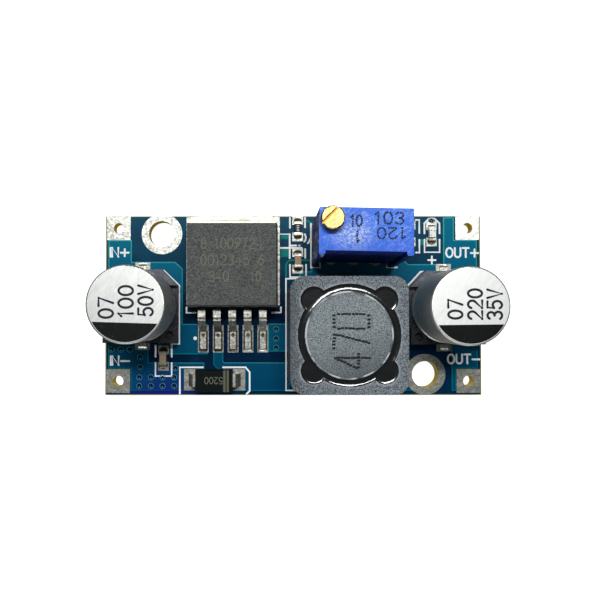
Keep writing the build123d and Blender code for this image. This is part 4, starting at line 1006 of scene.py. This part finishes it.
# Marks of the chip parts: short bars on the resistor, green dots on the lamp
chip_low, chip_high = size_of("feedback_resistor_body")
bars = [[(0.44, 8.5 + k * 0.19), (0.66, 8.5 + k * 0.19)] for k in range(4)]
printed("resistor_marks", bars, 0.07, silk, chip_high.z, 0.006)
lamp_low, lamp_high = size_of("lamp_lens")
dots = [[(15.68, 7.95), (15.72, 8.0)], [(16.1, 8.42), (16.1, 8.5)], [(15.7, 8.5), (15.78, 8.5)]]
printed("lamp_marks", dots, 0.1, lamp_green, lamp_high.z, 0.006)

# Diode's marks, the other way up
diode_low, diode_high = size_of("diode_body")
printed(
    "diode_marks", words("5200", (-7.95, -8.05), 2.0, 0.72, 180), 0.08, laser_mark, diode_high.z, 0.006
)

# Inductor's ink marks: a value in dashes, read from the right-hand side
drum_low, drum_high = size_of("inductor_drum")
drum_x = (drum_low.x + drum_high.x) / 2
drum_y = (drum_low.y + drum_high.y) / 2
lay(
    "inductor_marks",
    words("47o", (drum_x + 1.97, drum_y - 3.48), 5.63, 3.6, 90),
    DASHES,
    {"Pitch": 0.34 * MM, "Dash": (0.34 * MM, 0.22 * MM, 0.01 * MM), "Stray": (0.06 * MM, 0.08 * MM, 0.004 * MM),
     "Finish": body_ink.material},
    Matrix.Translation((0, 0, (drum_high.z + 0.006) * MM)),
)

# Adjuster's ink marks, on its leaning top
screw_joint, wheel_joint = frame["joints"][0], frame["joints"][1]
lean_up = Vector(screw_joint["axis"]).normalized()
lean_back = Vector(wheel_joint["axis"]).normalized()
lean_along = lean_back.cross(lean_up)
top_level = max(v.co.dot(lean_up) for v in nodes["adjuster_housing"].data.vertices)
top_points = [v.co for v in nodes["adjuster_housing"].data.vertices if v.co.dot(lean_up) > top_level - 1e-6]
top_u = [p.dot(lean_along) for p in top_points]
top_v = [p.dot(lean_back) for p in top_points]
top_middle = (
    lean_along * ((min(top_u) + max(top_u)) / 2)
    + lean_back * ((min(top_v) + max(top_v)) / 2)
    + lean_up * (top_level + 0.005 * MM)
)
adjuster_top = Matrix.Translation(top_middle) @ Matrix((lean_along, lean_back, lean_up)).transposed().to_4x4()
adjuster_lines = (
    words("10", (-1.62, 0.45), 1.1, 1.15)
    + words("103", (0.85, 0.75), 2.85, 1.2)
    + words("1", (-0.8, -0.1), 0.3, 1.1, 180)
    + words("120", (3.8, 0.35), 2.75, 1.1, 180)
)
lay(
    "adjuster_marks", adjuster_lines, DASHES,
    {"Pitch": 0.22 * MM, "Dash": (0.18 * MM, 0.18 * MM, 0.01 * MM), "Stray": (0.05 * MM, 0.05 * MM, 0.004 * MM),
     "Finish": body_ink.material},
    adjuster_top,
)

# Floor and light
floor_mesh = bpy.data.meshes.new("floor")
REACH = 1.5
floor_mesh.from_pydata(
    [(-REACH, -REACH, 0), (REACH, -REACH, 0), (REACH, REACH, 0), (-REACH, REACH, 0)], [], [(0, 1, 2, 3)]
)
floor_object = bpy.data.objects.new("floor", floor_mesh)
bpy.context.scene.collection.objects.link(floor_object)
floor_finish = Finish("floor", roughness=0.9, emission_strength=0.95)
seen = floor_finish.add("ShaderNodeLightPath", output="Is Camera Ray")
paper = floor_finish.blend(floor_finish.noise(60, 2), (0.92, 0.92, 0.92, 1), (0.9, 0.9, 0.9, 1))
floor_finish.use(
    base_color=floor_finish.blend(seen, (0.2, 0.2, 0.2, 1), paper),
    emission_color=floor_finish.blend(seen, (0, 0, 0, 1), (1, 1, 1, 1)),
)
floor_mesh.materials.append(floor_finish.material)


def softbox(name, at, aim, size, watts):
    """A rectangular light that faces a point, all in millimetres."""
    light = bpy.data.lights.new(name, "AREA")
    light.shape = "RECTANGLE"
    light.size, light.size_y = size[0] * MM, size[1] * MM
    light.energy = watts
    lamp = bpy.data.objects.new(name, light)
    lamp.location = Vector(at) * MM
    lamp.rotation_euler = (Vector(aim) - Vector(at)).to_track_quat("-Z", "Y").to_euler()
    bpy.context.scene.collection.objects.link(lamp)


softbox("overhead", (0, 160, 445), (0, 0, 0), (260, 55), 1.78)
softbox("front_fill", (-60, -330, 90), (0, 0, 0), (320, 90), 0.4)
world = bpy.data.worlds.new("studio")
world.use_nodes = True
world.node_tree.nodes["Background"].inputs["Color"].default_value = (1, 1, 1, 1)
world.node_tree.nodes["Background"].inputs["Strength"].default_value = 0.09
bpy.context.scene.world = world
